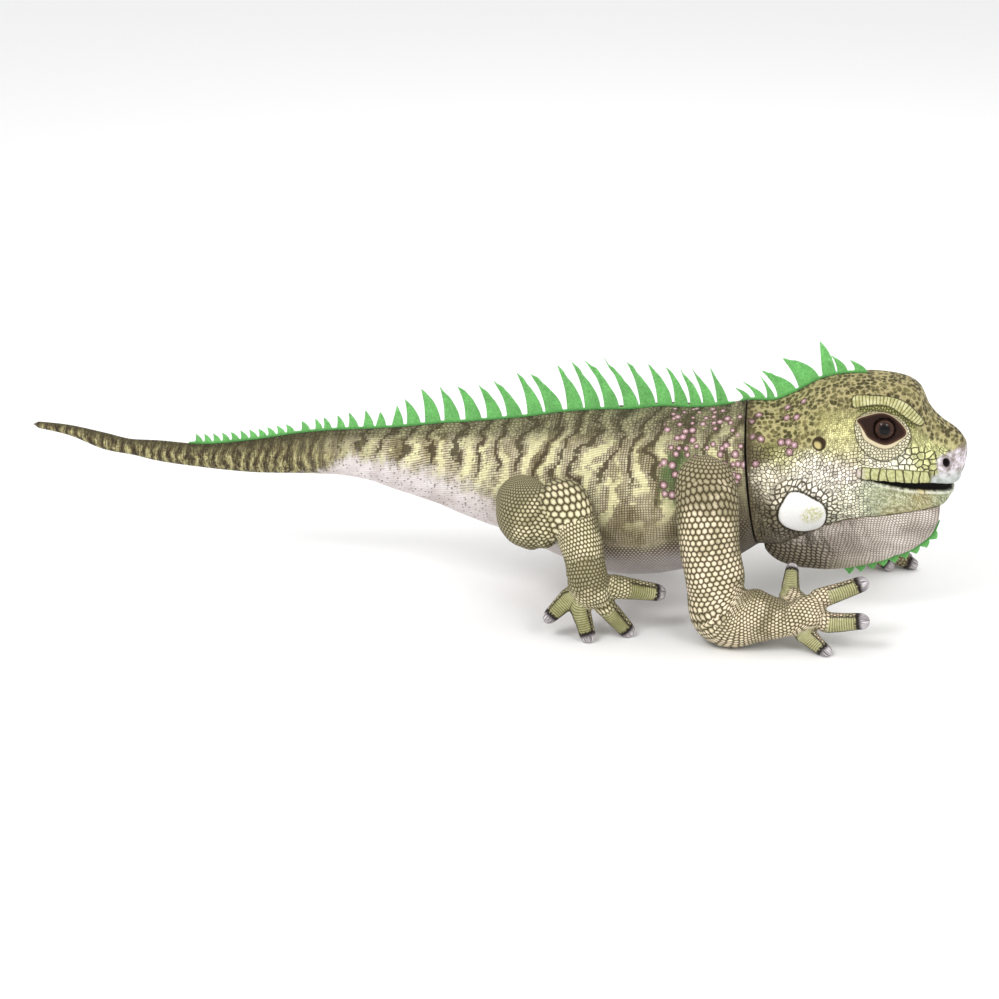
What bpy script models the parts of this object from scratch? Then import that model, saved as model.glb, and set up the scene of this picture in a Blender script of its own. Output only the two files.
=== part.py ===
# Stuffed plush iguana at its real size, in metres. +X runs out of the nose, +Y to its left,
# +Z up, and the floor is z = 0. Printed fabric skin over fibre filling, felt crests sewn
# into the seams of the back, head and throat, and moulded plastic eyes.
import math

import bmesh
import bpy
import numpy as np
from mathutils import Vector

GAP = 0.0003  # left between neighbouring pieces
FELT = 0.0024  # thickness of the felt crests
BAND = 0.0028  # height of felt between two spikes
FLOOR_DIP = 0.0015  # how far an elbow or toe is pressed into the flat it rests on

# Tail and trunk, from the tail's tip forward: place along X, height of the middle, radius.
TRUNK = [
    (-0.531, 0.1618, 0.0034),
    (-0.490, 0.1570, 0.0058),
    (-0.449, 0.1464, 0.0093),
    (-0.415, 0.1412, 0.0088),
    (-0.390, 0.1390, 0.0112),
    (-0.344, 0.1361, 0.0125),
    (-0.278, 0.1389, 0.0178),
    (-0.224, 0.1455, 0.0221),
    (-0.185, 0.1489, 0.0242),
    (-0.145, 0.1488, 0.0280),
    (-0.111, 0.1459, 0.0344),
    (-0.066, 0.1430, 0.0437),
    (-0.033, 0.1392, 0.0510),
    (0.034, 0.1325, 0.0665),
    (0.067, 0.1284, 0.0765),
    (0.111, 0.1254, 0.0873),
    (0.144, 0.1262, 0.0914),
    (0.177, 0.1302, 0.0925),
    (0.212, 0.1355, 0.0880),
    (0.246, 0.1445, 0.0830),
]
# Neck and head: place along X, top, bottom, half width.
HEAD = [
    (0.269, 0.2350, 0.0765, 0.0745),
    (0.300, 0.2372, 0.0790, 0.0670),
    (0.322, 0.2480, 0.0860, 0.0635),
    (0.346, 0.2630, 0.0960, 0.0610),
    (0.369, 0.2700, 0.1040, 0.0590),
    (0.391, 0.2718, 0.1090, 0.0555),
    (0.424, 0.2712, 0.1135, 0.0490),
    (0.441, 0.2670, 0.1170, 0.0440),
    (0.451, 0.2590, 0.1195, 0.0405),
    (0.461, 0.2400, 0.1230, 0.0366),
    (0.474, 0.2262, 0.1285, 0.0312),
    (0.484, 0.2202, 0.1350, 0.0265),
    (0.4893, 0.2166, 0.1460, 0.0232),
    (0.4935, 0.2128, 0.1590, 0.0200),
    (0.4980, 0.2075, 0.1690, 0.0150),
    (0.5008, 0.2015, 0.1775, 0.0095),
]
NOSE_TIP = (0.5024, 0.1915)
# Throat pouch under the jaw: place along X, bottom, half width. Its top is inside the jaw.
POUCH = [
    (0.290, 0.0770, 0.0240),
    (0.300, 0.0640, 0.0300),
    (0.312, 0.0560, 0.0340),
    (0.340, 0.0505, 0.0380),
    (0.369, 0.0512, 0.0390),
    (0.397, 0.0570, 0.0375),
    (0.434, 0.0700, 0.0315),
    (0.460, 0.0850, 0.0235),
    (0.472, 0.0980, 0.0170),
    (0.4775, 0.1120, 0.0120),
]
POUCH_TOP = 0.150
POUCH_FRONT = (0.4785, 0.1300)

RIDGE = 0.064  # share by which the seam of the back is drawn up into a ridge
RIDGE_WIDTH = 0.20  # of the ridge, as a share of the section's half width
SHOULDERS = (0.135, 0.245)  # the back is round between these
CROWN = (0.34, 0.40)  # the ridge dies away between these
NECK_SEAM = 0.269
NECK_TILT = 0.12  # how far the neck seam leans forward for each metre down
HEAD_SEAM = 0.325
TAIL_SEAMS = (-0.185, -0.300, -0.415)

EYE = (0.4160, 0.2249)  # X and Z of the eye's middle
EYE_RADIUS = 0.0112
EYE_DEPTH = 0.0080
MOUTH = ((0.3876, 0.1736), (0.4905, 0.1590))  # corner and front, X and Z
LIP_GROOVE = 0.0036
# Rounded forms of the face: X, distance from the middle, Z, reach, height.
FACE_FORMS = [
    (0.405, 0.042, 0.262, 0.020, 0.0040),
    (0.440, 0.036, 0.252, 0.016, 0.0045),
    (0.4160, 0.048, 0.225, 0.017, -0.0040),
    (0.345, 0.058, 0.140, 0.026, 0.0050),
    (0.480, 0.022, 0.190, 0.010, 0.0025),
]

# Limbs before the trunk, neck and floor trim them. Each is a chain of soft balls (X, Y, Z, radius)
# ending in a palm, with toes (base, tip, radius at each), and the planes it is parted at
# (point, normal towards the toes).
NEAR_ARM = {
    "chain": [
        (0.2330, -0.072, 0.1620, 0.034),
        (0.2375, -0.088, 0.1450, 0.0335),
        (0.2420, -0.101, 0.1080, 0.0320),
        (0.2500, -0.109, 0.0700, 0.0315),
        (0.2600, -0.113, 0.0370, 0.0350),
        (0.2900, -0.116, 0.0355, 0.0290),
        (0.3180, -0.118, 0.0355, 0.0205),
        (0.3290, -0.118, 0.0360, 0.0180),
    ],
    "palm": (0.3480, -0.114, 0.0430, 0.0185),
    "toes": [
        ((0.3280, -0.098, 0.0560), (0.3273, -0.068, 0.0730), 0.0114, 0.0070),
        ((0.3600, -0.104, 0.0560), (0.4020, -0.096, 0.0720), 0.0114, 0.0084),
        ((0.3700, -0.114, 0.0335), (0.4050, -0.117, 0.0385), 0.0112, 0.0088),
        ((0.3457, -0.121, 0.0220), (0.3690, -0.1265, 0.0058), 0.0104, 0.0074),
    ],
    "elbow": ((0.262, -0.108, 0.062), (0.50, 0.05, -1.0)),
    "wrist": ((0.3235, -0.118, 0.036), (1, 0.35, 0.15)),
}
FAR_ARM = {
    "chain": [
        (0.2330, 0.072, 0.1620, 0.034),
        (0.2470, 0.092, 0.1450, 0.0335),
        (0.2700, 0.112, 0.1180, 0.0310),
        (0.2950, 0.128, 0.0930, 0.0300),
        (0.3200, 0.138, 0.0780, 0.0290),
        (0.3500, 0.140, 0.0620, 0.0240),
        (0.3750, 0.139, 0.0460, 0.0190),
        (0.3840, 0.139, 0.0400, 0.0175),
    ],
    "palm": (0.3980, 0.138, 0.0310, 0.0165),
    "toes": [
        ((0.3960, 0.148, 0.0260), (0.4040, 0.169, 0.0066), 0.0090, 0.0062),
        ((0.4080, 0.145, 0.0260), (0.4430, 0.161, 0.0070), 0.0092, 0.0070),
        ((0.4100, 0.137, 0.0260), (0.4500, 0.1390, 0.0074), 0.0098, 0.0076),
        ((0.4020, 0.131, 0.0250), (0.4240, 0.1290, 0.0066), 0.0088, 0.0066),
    ],
    "elbow": ((0.3230, 0.138, 0.0780), (0.75, 0.1, -0.60)),
    "wrist": ((0.3820, 0.139, 0.0415), (0.8, 0, -0.55)),
}
LEG = {
    "chain": [
        (0.0420, 0.058, 0.1250, 0.036),
        (0.0480, 0.080, 0.1200, 0.0360),
        (0.0660, 0.090, 0.1230, 0.0300),
        (0.0865, 0.096, 0.1430, 0.0260),
        (0.0980, 0.104, 0.1250, 0.0240),
        (0.1080, 0.112, 0.1030, 0.0230),
        (0.1135, 0.119, 0.0820, 0.0215),
        (0.1160, 0.122, 0.0690, 0.0220),
    ],
    "palm": (0.1210, 0.124, 0.0570, 0.0205),
    "toes": [
        ((0.0975, 0.127, 0.0480), (0.0770, 0.133, 0.0265), 0.0108, 0.0080),
        ((0.1085, 0.130, 0.0410), (0.1185, 0.133, 0.0085), 0.0110, 0.0088),
        ((0.1340, 0.124, 0.0410), (0.1575, 0.112, 0.0085), 0.0112, 0.0088),
        ((0.1430, 0.115, 0.0590), (0.1870, 0.095, 0.0470), 0.0132, 0.0096),
    ],
    "knee": ((0.0800, 0.096, 0.150), (0.85, 0.15, -0.35)),
    "ankle": ((0.1185, 0.122, 0.0690), (0.25, 0.1, -1.0)),
}
ARM_JOINTS = ("elbow", "wrist")
LEG_JOINTS = ("knee", "ankle")
ARM_TRIANGLES = 760  # of a whole arm, before it is trimmed
LEG_TRIANGLES = 680
LIMB_VOXEL = 0.0022  # grid on which a limb's balls become one skin
CURVE_STEPS = 5  # between two balls of a chain

# Felt spikes are cut by hand: place of the base along X, width, height, lean back, in millimetres.
BACK_SPIKES_MM = [
    (-217, 9.5, 14.0, 2.6),
    (-202, 8, 15.5, 2.4),
    (-192, 8.5, 16.0, 2.6),
    (-177, 9, 17.5, 2.4),
    (-163, 11, 20.0, 3.4),
    (-146, 12, 21.5, 1.5),
    (-132, 11.5, 19.0, -0.8),
    (-113, 13, 24.5, -2.0),
    (-95, 15.5, 32.0, 5.0),
    (-73.5, 17.5, 42.0, 6.5),
    (-52, 17.5, 42.0, 9.4),
    (-28.5, 18, 42.5, 12.0),
    (-5, 17, 41.5, 12.2),
    (17, 17, 45.0, 17.5),
    (40, 17.5, 52.0, 11.8),
    (60.5, 19, 47.5, 18.2),
    (83.5, 17.5, 53.0, 14.5),
    (102.5, 17, 56.5, 18.5),
    (123, 16, 56.5, 27.0),
    (144.5, 17, 62.0, 26.0),
    (162.5, 17, 53.5, 15.6),
    (180.5, 15.5, 47.5, 16.8),
    (198, 15, 45.5, 18.2),
    (214, 13, 45.0, 15.0),
    (228.5, 13.5, 43.0, 14.5),
    (243, 12.5, 45.0, 7.0),
]
HEAD_SPIKES_MM = [
    (268.3, 7, 15.5, 11.5),
    (282.2, 11, 20.5, 21.0),
    (294.3, 9, 33.5, 12.5),
    (311.6, 22, 37.5, 13.5),
    (334.4, 24, 39.0, 10.5),
    (355.1, 14, 39.5, 0.5),
    (368.5, 10.5, 21.0, 8.5),
    (386.9, 12, 14.5, 12.5),
]
# Low even spikes along the tail: first base, last base, pitch, width, height and lean of each.
TAIL_SPIKES_MM = (-340, -228, 10.6, 8.5, 12.5, 3.4)
# Even spikes under the throat: first along the strip, pitch, count, width, height, fall in height.
THROAT_SPIKES_MM = (6, 12.2, 9, 11.4, 10.5, 0.3)
BACK_CREST = (-0.352, 0.2560)  # ends of each strip along X
HEAD_CREST = (0.2615, 0.3945)
THROAT_CREST = (0.378, 0.4775)
TALL_SPIKE = 0.022  # a spike higher than this has curved edges
STRIP_STEP = {"crest_back": 0.013, "crest_head": 0.0095, "crest_throat": 0.0071}
STRIP_CLEAR = GAP + 0.0002  # from a strip's lower edge to the line it follows
STRIP_REACH = 0.004  # the strip's direction is measured this far to each side

# Colour and roughness of each material.
FINISH = {
    "scale_print": ((0.30, 0.30, 0.15), 0.85),
    "throat_print": ((0.42, 0.38, 0.28), 0.85),
    "limb_print": ((0.45, 0.42, 0.28), 0.85),
    "green_felt": ((0.13, 0.47, 0.10), 0.95),
    "eye_plastic": ((0.05, 0.02, 0.01), 0.05),
}
# Lengths of the body from the tail's tip: name, sides and spacing of its rings.
LENGTHS = (
    ("tail_tip", 12, 0.024),
    ("tail_middle", 16, 0.024),
    ("tail_base", 20, 0.024),
    ("trunk", 28, 0.026),
)
TAIL_POINT = (-0.5326, 0.1621)  # X and Z of the tail's very end
HEAD_SIDES = 28
NECK_STEP = 0.014
HEAD_STEP = 0.0125
BROW = 0.441  # in front of this the head's rings lie at the rows of HEAD
POUCH_SIDES = 18
POUCH_STEP = 0.0178
EYE_SUNK = 0.0036  # from the head's skin in to the eye's middle
EYE_LEAN = (0.10, 1.0, 0.10)  # way the left eye looks
EYE_SIDES = (14, 8)


def smooth(rows, x):
    """The row of values at x, on a curve through the rows that doesn't overshoot them."""
    rows = np.array(rows)
    xs, ys = rows[:, 0], rows[:, 1:]
    slopes = np.diff(ys, axis=0) / np.diff(xs)[:, None]
    tangents = np.vstack([slopes[:1], (slopes[1:] + slopes[:-1]) / 2, slopes[-1:]])
    turns = slopes[1:] * slopes[:-1] <= 0
    tangents[1:-1][turns] = 0
    i = int(np.clip(np.searchsorted(xs, x) - 1, 0, len(xs) - 2))
    width = xs[i + 1] - xs[i]
    t = (np.clip(x, xs[0], xs[-1]) - xs[i]) / width
    return (
        (2 * t**3 - 3 * t**2 + 1) * ys[i]
        + (t**3 - 2 * t**2 + t) * width * tangents[i]
        + (3 * t**2 - 2 * t**3) * ys[i + 1]
        + (t**3 - t**2) * width * tangents[i + 1]
    )


def ease(a, b, x):
    t = min(max((x - a) / (b - a), 0.0), 1.0)
    return t * t * (3 - 2 * t)


def ridge_at(x):
    """Height of the sewn ridge of the back at x, as a share of the section's height."""
    rear, front = SHOULDERS
    round_back = ease(rear - 0.05, rear, x) * (1 - ease(front - 0.01, front + 0.03, x))
    return RIDGE * (1 - round_back) * (1 - ease(*CROWN, x))


# The whole body: place along X, top, bottom, half width, and how square its section is.
BODY = [(x, z + r * (1 + ridge_at(x)), z - r, r, 2.05) for x, z, r in TRUNK]
BODY += [(x, top, bottom, half, 2.05 + 0.3 * ease(0.27, 0.36, x)) for x, top, bottom, half in HEAD]


def section(x, turn):
    """Point of the body's skin at x, at the angle turn from +Y over the back."""
    top, bottom, half, power = smooth(BODY, x)
    ridge = ridge_at(x)
    middle = (top + bottom * (1 + ridge)) / (2 + ridge)
    up = (top - middle) / (1 + ridge)
    c, s = math.cos(turn), math.sin(turn)
    y = half * math.copysign(abs(c) ** (2 / power), c)
    z = up * math.copysign(abs(s) ** (2 / power), s)
    if z > 0:
        z += ridge * up * math.exp(-((y / (RIDGE_WIDTH * half)) ** 2))
    tilt = NECK_TILT * ease(0.17, NECK_SEAM, x) * (1 - ease(NECK_SEAM, HEAD_SEAM + 0.04, x))
    return Vector((x + tilt * (0.232 - middle - z), y, middle + z)), Vector((0, c, s))


def skin_point(x, turn, proud=0.0):
    point, out = section(x, turn)
    for fx, fy, fz, reach, height in FACE_FORMS:
        near = Vector((fx, math.copysign(fy, point.y), fz))
        point = point + out * height * math.exp(-((point - near).length / reach) ** 2)
    return point + out * proud


def ring(x, sides, proud=0.0):
    return [skin_point(x, 2 * math.pi * i / sides, proud) for i in range(sides)]


def loft(name, rings, first=None, last=None):
    """Closed skin through the rings, each end flat or drawn to a point."""
    bm = bmesh.new()
    rows = [[bm.verts.new(p) for p in points] for points in rings]
    for a, b in zip(rows, rows[1:]):
        for i in range(len(a)):
            j = (i + 1) % len(a)
            bm.faces.new((a[i], a[j], b[j], b[i]))
    for row, tip in ((rows[0], first), (rows[-1], last)):
        if tip is None:
            bm.faces.new(row)
            continue
        end = bm.verts.new(tip)
        for i in range(len(row)):
            bm.faces.new((row[i], row[(i + 1) % len(row)], end))
    return added(name, bm)


def added(name, bm):
    """The mesh as an object of the model, with its faces pointing out."""
    bmesh.ops.recalc_face_normals(bm, faces=bm.faces)
    if bm.calc_volume(signed=True) < 0:
        bmesh.ops.reverse_faces(bm, faces=bm.faces)
    mesh = bpy.data.meshes.new(name)
    bm.to_mesh(mesh)
    bm.free()
    mesh.shade_smooth()
    obj = bpy.data.objects.new(name, mesh)
    PARTS.objects.link(obj)
    return obj


def finish(obj, name):
    """Gives the object the named Principled material, which is made once."""
    made = bpy.data.materials.get(name)
    if not made:
        made = bpy.data.materials.new(name)
        made.use_nodes = True
        colour, roughness = FINISH[name]
        shader = made.node_tree.nodes["Principled BSDF"]
        shader.inputs["Base Color"].default_value = (*colour, 1)
        shader.inputs["Roughness"].default_value = roughness
    obj.data.materials.append(made)


def stations(start, end, step):
    count = max(2, round(abs(end - start) / step) + 1)
    return np.linspace(start, end, count)


def helper(obj):
    """Moves an object to the cutters, out of the model."""
    PARTS.objects.unlink(obj)
    CUTTERS.objects.link(obj)
    obj.hide_render = True
    obj.display_type = "WIRE"
    return obj


def settled(obj):
    """Replaces the object's mesh by what its modifiers make of it."""
    bpy.context.view_layer.update()
    graph = bpy.context.evaluated_depsgraph_get()
    mesh = bpy.data.meshes.new_from_object(obj.evaluated_get(graph))
    obj.modifiers.clear()
    obj.data = mesh
    return obj


def cut(obj, cutter):
    modifier = obj.modifiers.new("Cut", "BOOLEAN")
    modifier.operation = "DIFFERENCE"
    modifier.solver = "EXACT"
    modifier.object = cutter
    return settled(obj)


def kept_side(bm, point, normal):
    """Cuts the mesh by a plane, keeps the side the normal points to and closes it."""
    geometry = bm.verts[:] + bm.edges[:] + bm.faces[:]
    made = bmesh.ops.bisect_plane(
        bm, geom=geometry, dist=1e-7, plane_co=point, plane_no=normal, clear_inner=True
    )
    edges = [g for g in made["geom_cut"] if isinstance(g, bmesh.types.BMEdge)]
    if edges:
        bmesh.ops.edgeloop_fill(bm, edges=edges)
    bmesh.ops.recalc_face_normals(bm, faces=bm.faces)


def tail_and_trunk():
    """Four lengths of one tapering body, parted at the sewn seams."""
    start, point = TRUNK[0][0], (TAIL_POINT[0], 0, TAIL_POINT[1])
    for (name, sides, step), end in zip(LENGTHS, (*reversed(TAIL_SEAMS), NECK_SEAM)):
        rings = [ring(x, sides) for x in stations(start, end - GAP / 2, step)]
        body = loft(name, rings, first=point)
        finish(body, "scale_print")
        start, point = end + GAP / 2, None
    return body


def neck_and_head():
    places = stations(NECK_SEAM + GAP / 2, HEAD_SEAM - GAP / 2, NECK_STEP)
    neck = loft("neck", [ring(x, HEAD_SIDES) for x in places])
    places = [*stations(HEAD_SEAM + GAP / 2, BROW, HEAD_STEP)]
    places += [row[0] for row in HEAD if row[0] > BROW]
    rings = [ring(x, HEAD_SIDES) for x in places]
    head = loft("head", rings, last=(NOSE_TIP[0], 0, NOSE_TIP[1]))
    finish(neck, "scale_print")
    finish(head, "scale_print")
    return neck, head


def side_of_head(x, z):
    """Half width of the head's skin at x and the height z."""
    side = [skin_point(x, math.radians(turn)) for turn in range(-88, 89, 4)]
    return float(np.interp(z, [p.z for p in side], [p.y for p in side]))


def mouth_groove(head):
    """The long slit of the mouth, from one corner round the snout to the other."""
    (xa, za), (xb, zb) = MOUTH
    side = []
    for x in [*np.linspace(xa, HEAD[11][0], 7), HEAD[12][0]]:
        z = za + (zb - za) * (x - xa) / (xb - xa)
        side.append((x, side_of_head(x, z), z))
    side.append((xb + 0.0015, 0.010, zb))
    path = [(x, -y, z) for x, y, z in side] + [(xb + 0.003, 0, zb)] + side[::-1]
    radii = [min(1.0, 0.3 + 0.35 * i) for i in range(len(side))]
    radii = radii + [1.0] + radii[::-1]
    cutter = helper(tube("mouth_cutter", path, [LIP_GROOVE * r for r in radii], 1))
    cut(head, cutter)


def tube(name, path, radii, resolution=3):
    """A round closed tube through the path, as a mesh with its caps welded."""
    curve = bpy.data.curves.new(name, "CURVE")
    curve.dimensions = "3D"
    curve.bevel_depth = 1.0
    curve.bevel_resolution = resolution
    curve.use_fill_caps = True
    spline = curve.splines.new("POLY")
    spline.points.add(len(path) - 1)
    for point, place, radius in zip(spline.points, path, radii):
        point.co = (*place, 1)
        point.radius = radius
    guide = bpy.data.objects.new(name + "_guide", curve)
    PARTS.objects.link(guide)
    bpy.context.view_layer.update()
    graph = bpy.context.evaluated_depsgraph_get()
    mesh = bpy.data.meshes.new_from_object(guide.evaluated_get(graph))
    bpy.data.objects.remove(guide)
    bm = bmesh.new()
    bm.from_mesh(mesh)
    bmesh.ops.remove_doubles(bm, verts=bm.verts, dist=1e-6)
    return added(name, bm)


def throat_pouch(cutters):
    rings = []
    rows = [row[0] for row in POUCH]
    for x in [rows[0], *stations(rows[1], rows[-3], POUCH_STEP), *rows[-2:]]:
        bottom, half = smooth(POUCH, x)
        top = POUCH_TOP - 0.05 * (1 - ease(POUCH[0][0], 0.33, x))
        middle = (top + bottom) / 2
        points = []
        for i in range(POUCH_SIDES):
            turn = 2 * math.pi * i / POUCH_SIDES
            c, s = math.cos(turn), math.sin(turn)
            y = half * math.copysign(abs(c) ** 0.85, c)
            z = (top - bottom) / 2 * math.copysign(abs(s) ** 0.95, s)
            points.append(Vector((x, y, middle + z)))
        rings.append(points)
    front = (POUCH_FRONT[0], 0, POUCH_FRONT[1])
    pouch = loft("throat_pouch", rings, last=front)
    finish(pouch, "throat_print")
    for cutter in cutters:
        cut(pouch, cutter)


def larger(obj, proud):
    """A cutter: the piece with its skin moved out, so that what it cuts stays clear of it."""
    bm = bmesh.new()
    bm.from_mesh(obj.data)
    bm.normal_update()
    for vert in bm.verts:
        vert.co += vert.normal * proud
    return helper(added(obj.name + "_cutter", bm))


def eyes(head):
    """Domed plastic eyes, each in a socket of the head."""
    for side, name in ((-1, "eye_right"), (1, "eye_left")):
        x, z = EYE
        y = side_of_head(x, z) - EYE_SUNK
        lean = Vector(EYE_LEAN).normalized()
        for proud, label in ((GAP, name + "_cutter"), (0.0, name)):
            bm = bmesh.new()
            around, over = EYE_SIDES
            bmesh.ops.create_uvsphere(bm, u_segments=around, v_segments=over, radius=1)
            turned = Vector((0, 0, 1)).rotation_difference(lean).to_matrix()
            for vert in bm.verts:
                sized = Vector(
                    (
                        vert.co.x * (EYE_RADIUS + proud),
                        vert.co.y * (EYE_RADIUS + proud),
                        vert.co.z * (EYE_DEPTH + proud),
                    )
                )
                place = turned @ sized + Vector((x, y, z))
                vert.co = Vector((place.x, side * place.y, place.z))
            obj = added(label, bm)
            if proud:
                cut(head, helper(obj))
            else:
                finish(obj, "eye_plastic")


def mirrored(limb):
    """The same limb on the other side of the body."""
    turned = {"chain": [(x, -y, z, r) for x, y, z, r in limb["chain"]]}
    x, y, z, r = limb["palm"]
    turned["palm"] = (x, -y, z, r)
    turned["toes"] = [
        ((ax, -ay, az), (bx, -by, bz), ra, rb)
        for (ax, ay, az), (bx, by, bz), ra, rb in limb["toes"]
    ]
    for joint in LEG_JOINTS:
        (px, py, pz), (nx, ny, nz) = limb[joint]
        turned[joint] = ((px, -py, pz), (nx, -ny, nz))
    return turned


def balls_along(bm, path, spacing=0.35):
    """Balls along a path of (place, radius), close enough to make one smooth tube."""
    for (a, ra), (b, rb) in zip(path, path[1:]):
        count = max(1, math.ceil((b - a).length / (spacing * min(ra, rb))))
        for i in range(count + 1):
            t = i / count
            made = bmesh.ops.create_icosphere(bm, subdivisions=3, radius=ra + (rb - ra) * t)
            bmesh.ops.translate(bm, verts=made["verts"], vec=a.lerp(b, t))


def curved(chain):
    """The chain as a smooth path of (place, radius)."""
    rows = [(i, *ball) for i, ball in enumerate(chain)]
    path = []
    for i in np.linspace(0, len(chain) - 1, (len(chain) - 1) * CURVE_STEPS + 1):
        x, y, z, r = smooth(rows, i)
        path.append((Vector((x, y, z)), r))
    return path


def limb_form(name, limb, triangles):
    """One limb from shoulder or hip to its toe tips, as a single smooth skin."""
    bm = bmesh.new()
    balls_along(bm, curved(limb["chain"]))
    x, y, z, r = limb["palm"]
    wrist = Vector(limb["chain"][-1][:3])
    palm = Vector((x, y, z))
    balls_along(bm, [(wrist, limb["chain"][-1][3]), (palm, r)])
    for base, tip, ra, rb in limb["toes"]:
        balls_along(bm, [(palm.lerp(Vector(base), 0.3), ra), (Vector(base), ra), (Vector(tip), rb)])
    obj = added(name, bm)
    remesh = obj.modifiers.new("One skin", "REMESH")
    remesh.mode = "VOXEL"
    remesh.voxel_size = LIMB_VOXEL
    even = obj.modifiers.new("Even", "SMOOTH")
    even.factor = 0.5
    even.iterations = 4
    settled(obj)
    fewer = obj.modifiers.new("Fewer", "DECIMATE")
    fewer.ratio = min(1.0, triangles / (2 * len(obj.data.polygons)))
    return settled(obj)


def make_limb(names, joints, limb, triangles, cutters):
    """Three nodes of one limb: cut clear of the body, flat on the floor, parted at two joints."""
    whole = limb_form(names[0] + "_whole", limb, triangles)
    bm = bmesh.new()
    bm.from_mesh(whole.data)
    kept_side(bm, Vector((0, 0, FLOOR_DIP)), Vector((0, 0, 1)))
    bmesh.ops.translate(bm, verts=bm.verts, vec=(0, 0, -FLOOR_DIP))
    bm.to_mesh(whole.data)
    bm.free()
    for cutter in cutters:
        cut(whole, cutter)
    planes = [(Vector(p), Vector(n).normalized()) for p, n in (limb[j] for j in joints)]
    bm = bmesh.new()
    bm.from_mesh(whole.data)
    bpy.data.objects.remove(whole)
    for k, name in enumerate(names):
        piece = bm.copy()
        if k < 2:
            point, normal = planes[k]
            kept_side(piece, point - normal * GAP / 2, -normal)
        if k > 0:
            point, normal = planes[k - 1]
            kept_side(piece, point + normal * GAP / 2, normal)
        obj = added(name, piece)
        finish(obj, "limb_print")
    bm.free()


def limbs(trunk, neck):
    sides = (("right", NEAR_ARM, mirrored(LEG)), ("left", FAR_ARM, LEG))
    for side, arm, leg in sides:
        names = [f"{side}_{n}" for n in ("upper_arm", "forearm", "hand")]
        make_limb(names, ARM_JOINTS, arm, ARM_TRIANGLES, (trunk, neck))
        names = [f"{side}_{n}" for n in ("thigh", "shank", "foot")]
        make_limb(names, LEG_JOINTS, leg, LEG_TRIANGLES, (trunk,))


def edge_of_spike(s, width, height, lean, steps, side, belly):
    """(distance along, height, lean) of points up one edge of a spike, which bellies forward."""
    for t in steps:
        place = s + side * width / 2 * (1 - t**1.3) + belly * width * math.sin(math.pi * t)
        yield place, BAND + (height - BAND) * t, lean * t**1.5


def felt_strip(name, line, spikes, turn=1):
    """Flat felt along a line of (X, Z) points, cut into spikes that stand out from it.

    Each spike is (distance along the line, width, height, lean back)."""
    line = np.array(line)
    steps = np.linalg.norm(np.diff(line, axis=0), axis=1)
    along = np.concatenate([[0], np.cumsum(steps)])

    def on_line(s):
        return np.array([np.interp(s, along, line[:, k]) for k in (0, 1)])

    def at(s, out, back=0.0):
        d = on_line(s + STRIP_REACH) - on_line(s - STRIP_REACH)
        d /= np.linalg.norm(d)
        return tuple(on_line(s) + np.array([-d[1], d[0]]) * turn * out - d * back)

    outline = [at(s, STRIP_CLEAR) for s in along]
    outline.append(at(along[-1], BAND * 0.6))
    for s, width, height, lean in sorted(spikes, reverse=True):
        tall = height > TALL_SPIKE
        front = (0, 0.33, 0.68) if tall else (0, 0.5)
        rear = (0.5, 0) if tall else (0,)
        spike = (s, width, height, lean)
        outline += [at(*place) for place in edge_of_spike(*spike, front, 1, 0.10)]
        outline.append(at(s, height, lean))
        outline += [at(*place) for place in edge_of_spike(*spike, rear, -1, 0.07)]
    outline.append(at(0, BAND * 0.6))
    curve = bpy.data.curves.new(name, "CURVE")
    curve.dimensions = "2D"
    curve.fill_mode = "BOTH"
    curve.extrude = FELT / 2
    spline = curve.splines.new("POLY")
    spline.points.add(len(outline) - 1)
    for point, (x, z) in zip(spline.points, outline):
        point.co = (x, z, 0, 1)
    spline.use_cyclic_u = True
    flat = bpy.data.objects.new(name + "_outline", curve)
    PARTS.objects.link(flat)
    bpy.context.view_layer.update()
    graph = bpy.context.evaluated_depsgraph_get()
    mesh = bpy.data.meshes.new_from_object(flat.evaluated_get(graph))
    bpy.data.objects.remove(flat)
    bm = bmesh.new()
    bm.from_mesh(mesh)
    bmesh.ops.remove_doubles(bm, verts=bm.verts, dist=1e-6)
    for vert in bm.verts:
        vert.co = Vector((vert.co.x, vert.co.z, vert.co.y))
    finish(added(name, bm), "green_felt")


def crest_along(name, ends, spikes_mm):
    """A crest on the back between two places, with spikes given by their place along X."""
    places = stations(*ends, STRIP_STEP[name])
    line = np.array([(p.x, p.z) for p in (skin_point(x, math.pi / 2) for x in places)])
    along = np.concatenate([[0], np.cumsum(np.linalg.norm(np.diff(line, axis=0), axis=1))])
    spikes = []
    for x, *size in np.array(spikes_mm) / 1000:
        spikes.append((float(np.interp(x, line[:, 0], along)), *size))
    felt_strip(name, line, spikes)


def crests():
    first, last, pitch, *size = TAIL_SPIKES_MM
    small = [(x, *size) for x in np.arange(first, last, pitch)]
    crest_along("crest_back", BACK_CREST, small + BACK_SPIKES_MM)
    crest_along("crest_head", HEAD_CREST, HEAD_SPIKES_MM)
    places = stations(*THROAT_CREST, STRIP_STEP["crest_throat"])
    line = [(x, smooth(POUCH, x)[0]) for x in places]
    first, pitch, _, width, height, fall = np.array(THROAT_SPIKES_MM) / 1000
    spikes = []
    for i in range(THROAT_SPIKES_MM[2]):
        spikes.append((first + pitch * i, width, height - fall * i, 0.001))
    felt_strip("crest_throat", line, spikes, turn=-1)


def stand_on_the_floor():
    """Moves everything so that its box is centred over the origin, with its lowest face at z = 0."""
    corners = np.array([v.co for obj in PARTS.objects for v in obj.data.vertices])
    low, high = corners.min(axis=0), corners.max(axis=0)
    shift = Vector((-(low[0] + high[0]) / 2, -(low[1] + high[1]) / 2, -low[2]))
    for obj in [*PARTS.objects, *CUTTERS.objects]:
        for vert in obj.data.vertices:
            vert.co += shift


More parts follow.
